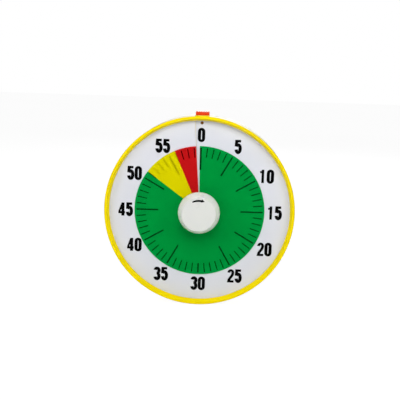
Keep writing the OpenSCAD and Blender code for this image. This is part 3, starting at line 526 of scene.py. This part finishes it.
def noise(tree, position, scale, detail, roughness=0.5):
    """Soft noise, mostly between 0.3 and 0.7."""
    return add(tree, "ShaderNodeTexNoise", {"Vector": position, "Scale": scale, "Detail": detail,
                                            "Roughness": roughness}).outputs[0]


def spread(tree, value, low, high):
    """A noise spread over a range."""
    return ranged(tree, value, 0.3, 0.7, low, high)


def drifting(tree, value, swing, middle):
    """A noise spread by a swing to either side of a middle value."""
    return maths(tree, "MULTIPLY_ADD", spread(tree, value, -1.0, 1.0), swing, middle)


def toned(tree, rgb, tone):
    """A colour made darker or lighter by a factor."""
    return add(tree, "ShaderNodeHueSaturation", {"Value": tone, "Color": rgb}).outputs[0]


def group(name, ins, outs):
    """A new shader node group: its tree, its inputs as they are read inside it, and its outputs.

    Inputs that start with nothing are places, those with a tuple are colours, and the rest are plain values.
    """
    tree = bpy.data.node_groups.new(name, "ShaderNodeTree")
    for label, default in ins.items():
        socket = tree.interface.new_socket(label, in_out="INPUT", socket_type=SOCKET_TYPES[type(default)])
        if default is not None:
            socket.default_value = default
    for label in outs:
        kind = tuple if label == "Colour" else float
        tree.interface.new_socket(label, in_out="OUTPUT", socket_type=SOCKET_TYPES[kind])
    return tree, tree.nodes.new("NodeGroupInput").outputs, tree.nodes.new("NodeGroupOutput").inputs


def build_skin(name):
    """Moulded or rolled surface: slow drift of tone and polish, and a fine grain."""
    tree, given, result = group(name, {"Position": None, "Colour": GREY, "Drift": 0.03, "Roughness": 0.4,
                                       "Polish": 0.06, "Grain": 3000.0}, ("Colour", "Roughness", "Height"))
    place = given["Position"]
    tone = drifting(tree, noise(tree, place, 22.0, 3.0), given["Drift"], 1.0)
    polish = drifting(tree, noise(tree, place, 160.0, 4.0, 0.65), given["Polish"], given["Roughness"])
    feed(tree, result, {"Colour": toned(tree, given["Colour"], tone), "Roughness": polish,
                        "Height": noise(tree, place, given["Grain"], 1.5)})
    return tree


def build_edges(name):
    """Handled edges: where the surface is sharply convex, the colour is a little lighter and smoother."""
    tree, given, result = group(name, {"Position": None, "Pointiness": 0.5, "Colour": GREY, "Worn": LIGHT_GREY,
                                       "Roughness": 0.4, "Amount": 0.3}, ("Colour", "Roughness"))
    broken = ranged(tree, noise(tree, given["Position"], 420.0, 3.0), 0.35, 0.65, 0.2, 1.0)
    convex = ranged(tree, given["Pointiness"], 0.52, 0.62, 0.0, 1.0)
    mask = maths(tree, "MULTIPLY", maths(tree, "MULTIPLY", convex, broken), given["Amount"])
    feed(tree, result, {"Colour": blend_colour(tree, mask, given["Colour"], given["Worn"]),
                        "Roughness": maths(tree, "MULTIPLY_ADD", mask, -0.12, given["Roughness"])})
    return tree


def build_brushing(name):
    """Drawn or brushed metal: fine lines along one axis and a slow tarnish."""
    tree, given, result = group(name, {"Position": None, "Colour": (0.7, 0.7, 0.7, 1.0), "Tarnish": DARK_GREY,
                                       "Roughness": 0.3}, ("Colour", "Roughness", "Height"))
    place = given["Position"]
    drawn = add(tree, "ShaderNodeMapping", {"Vector": place, "Scale": (900.0, 6000.0, 6000.0)}).outputs[0]
    patches = noise(tree, place, 300.0, 4.0)
    tarnish = ranged(tree, patches, 0.45, 0.75, 0.0, 0.35)
    feed(tree, result, {"Colour": blend_colour(tree, tarnish, given["Colour"], given["Tarnish"]),
                        "Roughness": drifting(tree, patches, 0.08, given["Roughness"]),
                        "Height": noise(tree, drawn, 1.0, 2.0)})
    return tree


def shared(tree, name, build, inputs):
    """Outputs of a shared node group, which is built the first time that it is asked for."""
    return add(tree, "ShaderNodeGroup", inputs, node_tree=bpy.data.node_groups.get(name) or build(name)).outputs


def new_material(name):
    """An empty node material with its Principled shader, its output and its Object coordinates."""
    material = bpy.data.materials.new(name)
    material.use_nodes = True
    tree = material.node_tree
    shader = next(n for n in tree.nodes if n.type == "BSDF_PRINCIPLED")
    output = next(n for n in tree.nodes if n.type == "OUTPUT_MATERIAL")
    return material, tree, shader, output, tree.nodes.new("ShaderNodeTexCoord").outputs["Object"]


def opaque(rgb):
    """A colour with an alpha of 1."""
    return (*rgb, 1.0)


def darker(rgb, share):
    """A colour that keeps a share of its light, with an alpha of 1."""
    return opaque([c * share for c in rgb])


def lighter(rgb, share):
    """A colour moved towards white."""
    return tuple(c + (1 - c) * share for c in rgb)


def worn(rgb):
    """A colour as it looks where hands rub it: a little lighter, and as strong."""
    return opaque([min(1.0, c * 1.25 + 0.01) for c in rgb])


def coat(tree, shader, height, strength, distance, inputs):
    """Feeds a shader its inputs, and its normal from a height."""
    made = add(tree, "ShaderNodeBump", {"Height": height, "Strength": strength, "Distance": distance})
    feed(tree, shader.inputs, inputs | {"Normal": made.outputs[0]})


def plastic(name, rgb):
    """Moulded plastic with a fine texture, a slow drift of tone and handled edges, as PLASTICS has it."""
    if name in bpy.data.materials:
        return bpy.data.materials[name]
    roughness, drift, grain, grain_deep, wear, gloss, milk = PLASTICS[name]
    material, tree, shader, _, position = new_material(name)
    skin = shared(tree, "Skin", build_skin, {"Position": position, "Colour": opaque(rgb), "Drift": drift,
                                             "Roughness": roughness, "Polish": roughness * 0.18, "Grain": grain})
    pointiness = tree.nodes.new("ShaderNodeNewGeometry").outputs["Pointiness"]
    edges = shared(tree, "Handled edges", build_edges, {
        "Position": position, "Pointiness": pointiness, "Colour": skin["Colour"], "Roughness": skin["Roughness"],
        "Worn": worn(rgb), "Amount": wear})
    coat(tree, shader, skin["Height"], grain_deep, 0.00006, {
        "Base Color": edges["Colour"], "Roughness": edges["Roughness"], "Specular IOR Level": gloss,
        "Subsurface Weight": milk, "Subsurface Radius": (1.0, 1.0, 0.9), "Subsurface Scale": 0.004})
    return material


def metal(name, rgb, roughness=0.3):
    """Plated or bare metal with drawn lines and a slow tarnish."""
    if name in bpy.data.materials:
        return bpy.data.materials[name]
    material, tree, shader, _, position = new_material(name)
    brushed = shared(tree, "Brushing", build_brushing, {"Position": position, "Colour": opaque(rgb),
                                                        "Tarnish": darker(rgb, 0.55), "Roughness": roughness})
    coat(tree, shader, brushed["Height"], 0.15, 0.00002, {
        "Base Color": brushed["Colour"], "Roughness": brushed["Roughness"], "Metallic": 1.0})
    return material


def film(name, rgb, passed, cover):
    """Tinted film: part of the light comes back from it and the rest passes, tinted, to the dial behind."""
    material, tree, shader, output, position = new_material(name)
    skin = shared(tree, "Skin", build_skin, {"Position": position, "Colour": opaque(rgb), "Drift": 0.015,
                                             "Roughness": 0.42, "Polish": 0.05, "Grain": 5200.0})
    coat(tree, shader, skin["Height"], 0.05, 0.00004, {
        "Base Color": skin["Colour"], "Roughness": skin["Roughness"], "Specular IOR Level": 0.03})
    clear = add(tree, "ShaderNodeBsdfTransparent", {"Color": opaque(passed)})
    feed(tree, output.inputs, {"Surface": blend_shader(tree, cover, clear.outputs[0], shader.outputs[0])})
    return material


def winding(name, rgb):
    """Enamelled wire wound in turns round the coil, with painted shade in the grooves between the turns."""
    material, tree, shader, _, position = new_material(name)
    turns = add(tree, "ShaderNodeTexWave", {"Vector": position, "Scale": 900.0, "Distortion": 0.4, "Detail": 1.0},
                wave_type="BANDS", bands_direction="Y").outputs[1]
    coat(tree, shader, turns, 0.6, 0.0002, {
        # The dark part of each band is painted shade in the groove between two turns
        "Base Color": blend_colour(tree, turns, darker(rgb, 0.35), opaque(rgb)),
        "Roughness": ranged(tree, turns, 0.0, 1.0, 0.5, 0.28), "Metallic": 0.8})
    return material


def speckled(name, rgb):
    """Sintered ferrite: dark, with a fine speckle."""
    material, tree, shader, _, position = new_material(name)
    specks = add(tree, "ShaderNodeTexVoronoi", {"Vector": position, "Scale": 2600.0}).outputs[0]
    patches = noise(tree, position, 260.0, 5.0)
    tone = maths(tree, "MULTIPLY", ranged(tree, specks, 0.0, 0.6, 0.75, 1.2), spread(tree, patches, 0.8, 1.2))
    coat(tree, shader, specks, 0.3, 0.00005, {
        "Base Color": toned(tree, opaque(rgb), tone), "Roughness": spread(tree, patches, 0.5, 0.7)})
    return material


def board(name, rgb):
    """Circuit board: solder mask over raised tracks."""
    material, tree, shader, _, position = new_material(name)
    tracks = add(tree, "ShaderNodeTexBrick", {"Vector": position, "Color1": WHITE, "Color2": WHITE,
                                              "Mortar": (0, 0, 0, 1), "Scale": 120.0, "Mortar Size": 0.06,
                                              "Brick Width": 1.1, "Row Height": 0.3}).outputs[1]
    grain = noise(tree, position, 900.0, 3.0)
    lit = blend_colour(tree, tracks, opaque(rgb), opaque(lighter(rgb, 0.12)))
    coat(tree, shader, tracks, 0.4, 0.00004, {
        "Base Color": toned(tree, lit, spread(tree, grain, 0.9, 1.1)), "Roughness": spread(tree, grain, 0.22, 0.34)})
    return material


def cell_jacket(name, rgb, band, steel, node):
    """Dry cell: a glossy dark jacket with a plain band near the raised end, and bare metal at both ends."""
    low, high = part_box(node)
    material, tree, shader, _, position = new_material(name)
    along = add(tree, "ShaderNodeSeparateXYZ", {0: position}).outputs[0]
    grain = noise(tree, position, 500.0, 3.0)

    def inside(start, end):
        """1 between two places along the cell, with hard edges."""
        return maths(tree, "MULTIPLY", maths(tree, "GREATER_THAN", along, start), maths(tree, "LESS_THAN", along, end))

    jacket_start, jacket_end, band_start = low.x + 0.0008, high.x - 0.0022, high.x - 0.015
    jacket = inside(jacket_start, jacket_end)
    paint = blend_colour(tree, inside(band_start, jacket_end), opaque(rgb), opaque(band))
    coat(tree, shader, grain, 0.08, 0.00003, {
        "Base Color": blend_colour(tree, jacket, opaque(steel), paint),
        "Metallic": maths(tree, "SUBTRACT", 1.0, jacket), "Roughness": spread(tree, grain, 0.24, 0.36)})
    return material


def steel():
    """Plated steel of screws, pins and springs."""
    return metal("Plated steel", palette().steel)


# ---- Operators ----

class TIMER_OT_rim(bpy.types.Operator):
    """Builds the yellow rim with its guard in front of the button"""

    bl_idname = "timer.rim"
    bl_label = "Rim"

    def execute(self, context):
        s = sizes()
        material = plastic("Rim plastic", palette().rim)
        inner, skirt, outer = s.rim_r - s.rim_w, s.rim_r - s.skirt_t, s.rim_r - s.rim_taper
        lip, bead, bead_half, bead_r = s.rim_seat + s.lip_h, s.rim_seat - s.bead_drop, 0.1, skirt - 0.25
        lip_in, lip_rise, chamfer, corner = 0.1, 0.35, 0.4, 0.12
        profile = ([(inner, s.rim_seat), (inner, lip), (inner + lip_in, lip + lip_rise)]
                   + arc(s.rim_r - s.rim_round, s.rim_front - s.rim_round, s.rim_round, s.rim_round, 110, 0, 12)
                   + [(outer, s.rim_back + chamfer), (outer - corner, s.rim_back + corner),
                      (outer - chamfer, s.rim_back), (skirt, s.rim_back), (skirt, bead - chamfer),
                      (bead_r, bead - bead_half), (bead_r, bead + bead_half), (skirt, bead + chamfer),
                      (skirt, s.rim_seat)])
        bm = bmesh.new()
        spin(bm, outline(bm, profile), 360, FACE_STEPS)
        ring = piece("rim", bm, "case", [material], ["bezel"], 32)
        bm = bmesh.new()
        half, guard_front = s.guard_w / 2, s.rim_front - s.rim_round + 0.6
        block(bm, (-half, s.rim_back, outer - 1), (half, guard_front, s.rim_r + s.guard_h), bevel=0.45, segments=3)
        joined("rim with guard", ring, piece("guard", bm, "case", [material]))
        return {"FINISHED"}


class TIMER_OT_case(bpy.types.Operator):
    """Finishes the two halves of the case, the battery door and the stand leg"""

    bl_idname = "timer.case"
    bl_label = "Housing"

    def execute(self, context):
        for node in ("front_case", "rear_case", "battery_door", "stand_leg"):
            smoothed(node, plastic("Housing plastic", palette().case))
        return {"FINISHED"}


class TIMER_OT_dial(bpy.types.Operator):
    """Builds the dial sheet that winds once round the shaft, with its numbers and minute marks"""

    bl_idname = "timer.dial"
    bl_label = "Dial"

    def execute(self, context):
        s, p, c = sizes(), printing(), palette()
        bm = bmesh.new()
        start, angle = p.slit_phi + p.slit_open / 2, 360 - p.slit_open
        front = s.dial_low + s.pitch * p.slit_open / 720
        section = [(s.dial_hole_r, front), (s.dial_r, front), (s.dial_r, front - s.sheet_t),
                   (s.dial_hole_r, front - s.sheet_t)]
        spin(bm, outline(bm, section, start), angle, FACE_STEPS, s.pitch * angle / 360)
        close_ends(bm)
        piece("dial_sheet", bm, "case", [plastic("Dial sheet", c.sheet)], ["dial"], 20)

        # A pale strip on the sheet's high end along the cut: the cream of the sheet's cut core, with the light on the
        # cut's face painted in
        bm = bmesh.new()
        radii, inset = (s.dial_r - 0.2, s.film_r + 1, s.dial_hole_r), 0.004
        strip(bm, radial(start + angle - inset, radii, 0, -p.edge_w), dial_depth, high=0.015)
        piece("cut_edge_and_painted_light", bm, "case", [plastic("Cut core and painted light", c.cut)])

        for name, draw, minutes in (("dial_numbers", number, NUMBER_PLACES), ("minute_marks", mark, range(60))):
            bm = bmesh.new()
            for minute in minutes:
                draw(bm, minute)
            piece(name, bm, "case", [plastic("Ink", c.ink)])
        return {"FINISHED"}


class TIMER_OT_disc(bpy.types.Operator):
    """Builds the tinted disc, one turn of film in a green, a yellow and a red sector"""

    bl_idname = "timer.disc"
    bl_label = "Tinted disc"

    def execute(self, context):
        s, p, c = sizes(), printing(), palette()
        bm = bmesh.new()
        back = s.film_low + s.pitch * (p.trail_phi - p.slit_phi) / 360
        front = back + s.film_t
        edge = outline(bm, [(s.hub_r, front), (s.film_r, front), (s.film_r, back), (s.hub_r, back)], p.trail_phi)
        stops, facet, least = (p.trail_phi, p.green_phi, p.yellow_phi, p.lead_phi), 1.25, 8
        for sector, (start, end) in enumerate(zip(stops, stops[1:])):
            old = set(bm.faces)
            angle = end - start
            edge = spin(bm, edge, angle, max(least, round(angle / facet)), s.pitch * angle / 360)
            for face in set(bm.faces) - old:
                face.material_index = sector
        close_ends(bm)
        bmesh.ops.recalc_face_normals(bm, faces=bm.faces)
        red, clear = 2, 3  # places in the list of films below
        for face in bm.faces:
            middle = face.calc_center_median() / MM
            if abs(degrees(atan2(middle.x, middle.z)) % 360 - p.lead_phi) < 0.01:
                face.material_index = red
            if face.normal.y > 0.5:
                face.material_index = clear
        materials = [film("Green film", c.green, c.green_through, cover=0.16),
                     film("Yellow film", c.yellow, c.yellow_through, cover=0.36),
                     film("Red film", c.red, c.red_through, cover=0.05),
                     film("Clear film back", c.clear, c.clear, cover=0.01)]
        piece("film_disc", bm, "disc_set", materials, ["timer_disc"], 20)
        smoothed("disc_hub", plastic("Hub plastic", c.knob))
        return {"FINISHED"}


class TIMER_OT_knob(bpy.types.Operator):
    """Builds the flared knob with its fluted grip and its turn arrow"""

    bl_idname = "timer.knob"
    bl_label = "Knob"

    def execute(self, context):
        s, c = sizes(), palette()
        # The grip is the knob's white moved most of the way to white: a lighter copy of one plastic, painted light
        # that brightens its side-facing flutes
        materials = [plastic("Knob plastic", c.knob), plastic("Grip plastic painted lighter", lighter(c.knob, 0.8))]
        arrow_room = 0.04
        grip_back, face = s.knob_back + s.flare_h, s.knob_front - arrow_room
        grip_front = grip_back + s.grip_h
        taper = (s.knob_r - s.grip_end_r) / s.grip_h
        curve, steps = 1.6, 12
        flare = [(s.foot_r + (s.knob_r - s.foot_r) * (i / steps) ** curve, s.knob_back + s.flare_h * i / steps)
                 for i in range(1, steps + 1)]
        grip = [(s.knob_r - taper * s.grip_h * i / 10, grip_back + s.grip_h * i / 10) for i in range(1, 10)]
        edge = arc(s.face_r, grip_front, s.grip_end_r - s.face_r, face - grip_front, 0, 90, 9)
        profile = [(s.bore_r, s.knob_back), (s.foot_r, s.knob_back)] + flare + grip + edge + [(0, face)]
        bm = bmesh.new()
        spin(bm, outline(bm, profile, closed=False), 360, 8 * s.flutes)
        bmesh.ops.remove_doubles(bm, verts=bm.verts, dist=MERGE)
        for v in bm.verts:
            depth, r = -v.co.y / MM, hypot(v.co.x, v.co.z) / MM
            if r < s.face_r or depth < s.knob_back + 0.1:
                continue
            wave = 0.5 - 0.5 * cos(s.flutes * atan2(v.co.x, v.co.z))
            limit = s.knob_r - taper * (depth - grip_back) - s.flute_deep * wave ** curve
            if limit < r:
                v.co.x, v.co.z = v.co.x * limit / r, v.co.z * limit / r
        close_ends(bm)
        for f in bm.faces:
            middle = f.calc_center_median() / MM
            if grip_back < -middle.y < face and hypot(middle.x, middle.z) > s.face_r:
                f.material_index = 1
        piece("knob_body", bm, "knob_set", materials, ["knob"], 40)

        bm = bmesh.new()
        sides = [[side for side, in radial(phi, (r + w / 2, r - w / 2), 0)] for r, phi, w in ARROW]
        strip(bm, sides, lambda x, z: face, high=0.03, sunk=0.02)
        piece("turn_arrow", bm, "knob_set", [bpy.data.materials["Ink"]])
        return {"FINISHED"}


class TIMER_OT_button(bpy.types.Operator):
    """Builds the ribbed button on top of the case"""

    bl_idname = "timer.button"
    bl_label = "Button"

    def execute(self, context):
        s = sizes()
        half, base, low = s.button_w / 2, BUTTON[2], s.flange_low
        middle = (s.button_back + s.button_front) / 2
        mouth, bed = 0.56, 0.34
        bm = bmesh.new()
        block(bm, (-half, s.button_back, low), (half, s.button_front, s.button_top), bevel=0.5, segments=3)
        ribs = int((s.button_w - 1) / s.rib_pitch)
        for i in range(ribs):
            groove = s.rib_pitch * (i + 0.5 - ribs / 2)
            for offset in (-mouth, -bed, bed, mouth):
                bmesh.ops.bisect_plane(bm, geom=bm.verts[:] + bm.edges[:] + bm.faces[:], dist=MERGE,
                                       plane_co=((groove + offset) * MM, 0, 0), plane_no=(1, 0, 0))
            sunk = [v for v in bm.verts if abs(v.co.x / MM - groove) < (mouth + bed) / 2]
            pivot = Matrix.Translation((0, middle * MM, -low * MM))
            share = (1 - s.rib_deep * 2 / (s.button_front - s.button_back), 1 - s.rib_deep / (s.button_top - low))
            bmesh.ops.scale(bm, vec=(1, *share), space=pivot, verts=sunk)
        block(bm, (BUTTON[0], s.button_back, low), (BUTTON[3], BUTTON[4], low + s.flange_t), bevel=0.2)
        stem = bmesh.ops.create_cone(bm, cap_ends=True, segments=32, radius1=s.stem_r * MM, radius2=s.stem_r * MM,
                                     depth=(low - base) * MM)["verts"]
        bmesh.ops.translate(bm, vec=(0, -middle * MM, (low + base) / 2 * MM), verts=stem)
        material = plastic("Button plastic", palette().button)
        piece("button", bm, "button", [material], ["stop_button"], 35)
        return {"FINISHED"}


class TIMER_OT_fixings(bpy.types.Operator):
    """Builds the brass screw of the dial and finishes the screws, the pin and the magnets of the case"""

    bl_idname = "timer.fixings"
    bl_label = "Fixings"

    def execute(self, context):
        c = palette()
        x, z = (SCREW[0] + SCREW[3]) / 2, (SCREW[2] + SCREW[5]) / 2
        r, front, back = (SCREW[3] - SCREW[0]) / 2, SCREW[4], SCREW[1]
        dome_h, slot_deep, slot_half, slot_phi = 0.55, 0.3, 0.22, 24
        bm = bmesh.new()
        dome = ([(0, front)] + arc(0, front - dome_h, r, dome_h, 84, 8, 8)
                + [(r, front - dome_h - 0.07), (r / 2, front - dome_h - 0.11), (r / 2, back), (0, back)])
        spin(bm, outline(bm, dome, closed=False), 360, 48)
        # The screw's brass is darkened: painted shade for the rim's shadow that falls over the screw's top
        head = piece("dial_screw_head", bm, "case", [metal("Brass darkened with painted shade", c.brass, 0.36)], ["dial_screw"], 40)
        bm = bmesh.new()
        block(bm, (-r - 1, front - slot_deep, -slot_half), (r + 1, front + 1, slot_half))
        turned = Matrix.Rotation(radians(slot_phi), 3, "Y")
        bmesh.ops.rotate(bm, cent=(0, 0, 0), matrix=turned, verts=bm.verts)
        joined("driver slot", head, piece("slot", bm, "case", []), "DIFFERENCE")
        head.data.transform(Matrix.Translation((x * MM, 0, z * MM)))
        for node in ("case_screws", "leg_pin"):
            smoothed(node, steel())
        smoothed("board_magnets", speckled("Ferrite", c.ferrite))
        return {"FINISHED"}


class TIMER_OT_works(bpy.types.Operator):
    """Finishes the movement, the circuit and the battery inside the case"""

    bl_idname = "timer.works"
    bl_label = "Works"

    def execute(self, context):
        c = palette()
        black = plastic("Black plastic", c.black)
        for material, nodes in (
            (plastic("Movement plastic", c.movement), ("movement_case", "movement_cover")),
            (plastic("Gear plastic", c.gear), ("main_wheel", "idler_wheel", "zero_cam")),
            (steel(), ("shaft", "clutch_spring", "retaining_ring", "idler_axle", "motor_can", "motor_plate",
                       "rotor_shaft", "movement_screws", "return_spring", "crystal")),
            (metal("Brass darkened with painted shade", c.brass, 0.36), ["motor_pinion"]),
            (winding("Copper winding", c.copper), ["motor_coil"]),
            (bpy.data.materials["Ferrite"], ["rotor_magnet"]),
            (black, ("zero_switch", "button_switch", "timer_chip", "sounder")),
            (board("Solder mask", c.board), ["circuit_board"]),
        ):
            for node in nodes:
                mesh = frame["nodes"][node].data
                mesh.materials.clear()
                mesh.materials.append(material)
        for node in ("contact_spring", "contact_plates"):
            smoothed(node, steel())
        smoothed("sound_switch_body", black)
        smoothed("sound_slider", plastic("Slider plastic", c.movement))
        smoothed("battery", cell_jacket("Cell jacket", c.jacket, c.copper, c.steel, "battery"))
        return {"FINISHED"}


class TIMER_OT_stage(bpy.types.Operator):
    """Makes the floor, the light and the camera"""

    bl_idname = "timer.stage"
    bl_label = "Stage"

    def execute(self, context):
        scene = context.scene
        view = scene.timer_view
        floor_gap = 0.0004

        bm = bmesh.new()
        bmesh.ops.create_grid(bm, x_segments=1, y_segments=1, size=3.0)
        bmesh.ops.translate(bm, vec=(0, 0.6, CAD_BOX[0].z - floor_gap), verts=bm.verts)
        mesh = bpy.data.meshes.new("floor")
        bm.to_mesh(mesh)
        bm.free()
        floor = placed("floor", mesh)
        mesh.materials.append(self.floor_paint())

        world = bpy.data.worlds.new("Studio")
        scene.world = world
        world.use_nodes = True
        tree = world.node_tree
        tree.nodes.clear()
        path = tree.nodes.new("ShaderNodeLightPath").outputs
        seen = maths(tree, "MAXIMUM", path["Is Camera Ray"],
                     maths(tree, "MAXIMUM", path["Is Glossy Ray"], path["Is Transmission Ray"]))
        around, shown = (add(tree, "ShaderNodeBackground", {"Color": WHITE, "Strength": strength}).outputs[0]
                         for strength in (view.fill, 1.0))
        add(tree, "ShaderNodeOutputWorld", {"Surface": blend_shader(tree, seen, around, shown)})

        for name, place, aim, size, share in (
            ("key left", (-0.9, -0.85, 0.5), (0, 0, 0), 0.5, 0.94),
            ("key right", (0.8, -0.9, 0.5), (0, 0, 0), 0.5, 0.9),
            ("key top", (0, -1.1, 0.75), (0, 0, 0), 0.35, 0.42),
            ("front light", (0, -0.56, 0.44), (0, -0.5, -0.1), 0.42, 0.6),
            ("back light", (0.1, 1.1, 0.7), (0, 0, 0), 0.9, 1.7),
        ):
            lamp = bpy.data.lights.new(name, "AREA")
            lamp.shape = "DISK"
            lamp.size = size
            lamp.energy = view.key * share
            placed(name, lamp, place, (Vector(aim) - Vector(place)).to_track_quat("-Z", "Y").to_euler())

        camera = bpy.data.cameras.new("camera")
        camera.sensor_width = 36.0
        camera.lens = view.lens
        camera.shift_x, camera.shift_y = view.shift_x, view.shift_y
        a, e = radians(view.azimuth), radians(view.elevation)
        back = Vector((sin(a) * cos(e), -cos(a) * cos(e), sin(e)))
        aim = (-back).to_track_quat("-Z", "Y") @ Quaternion((0, 0, 1), radians(view.roll))
        scene.camera = placed("camera", camera, Vector((0, -0.033, 0)) + back * view.distance, aim.to_euler())

        scene.view_settings.view_transform = "Standard"
        return {"FINISHED"}

    def floor_paint(self):
        """Pale floor that shows white to the camera where no shadow falls, and keeps the shadow."""
        material, tree, shader, output, position = new_material("Floor")
        feed(tree, shader.inputs, {"Base Color": opaque(palette().floor), "Specular IOR Level": 0.1,
                                   "Roughness": spread(tree, noise(tree, position, 3.0, 2.0), 0.55, 0.65)})
        seen = tree.nodes.new("ShaderNodeLightPath").outputs["Is Camera Ray"]
        glow = add(tree, "ShaderNodeEmission", {"Color": WHITE, "Strength": 1.1}).outputs[0]
        share = maths(tree, "MULTIPLY", seen, 0.86)
        feed(tree, output.inputs, {"Surface": blend_shader(tree, share, shader.outputs[0], glow)})
        return material


OPERATORS = (TIMER_OT_rim, TIMER_OT_case, TIMER_OT_dial, TIMER_OT_disc, TIMER_OT_knob, TIMER_OT_button,
             TIMER_OT_fixings, TIMER_OT_works, TIMER_OT_stage)
GROUPS = (("timer_sizes", TimerSizes), ("timer_print", TimerPrint), ("timer_colours", TimerColours),
          ("timer_view", TimerView))


class TIMER_PT_panel(bpy.types.Panel):
    """Lists the steps that build the timer, and its settings"""

    bl_idname = "TIMER_PT_panel"
    bl_label = "Countdown timer"
    bl_space_type = "VIEW_3D"
    bl_region_type = "UI"
    bl_category = "Timer"

    def draw(self, context):
        for operator in OPERATORS:
            self.layout.operator(operator.bl_idname)
        for name, kind in GROUPS:
            box = self.layout.box()
            for key in kind.__annotations__:
                box.prop(getattr(context.scene, name), key)


def register():
    """Registers the properties, the operators and the panel."""
    for name, kind in GROUPS:
        bpy.utils.register_class(kind)
        setattr(bpy.types.Scene, name, bpy.props.PointerProperty(type=kind))
    for kind in (*OPERATORS, TIMER_PT_panel):
        bpy.utils.register_class(kind)


def unregister():
    """Takes the panel, the operators and the properties away again."""
    for kind in (TIMER_PT_panel, *reversed(OPERATORS)):
        bpy.utils.unregister_class(kind)
    for name, kind in reversed(GROUPS):
        delattr(bpy.types.Scene, name)
        bpy.utils.unregister_class(kind)


def main():
    """Builds the whole timer and its stage."""
    register()
    for operator in OPERATORS:
        family, step = operator.bl_idname.split(".")
        getattr(getattr(bpy.ops, family), step)()
    bpy.context.view_layer.update()


if __name__ == "__main__":
    main()
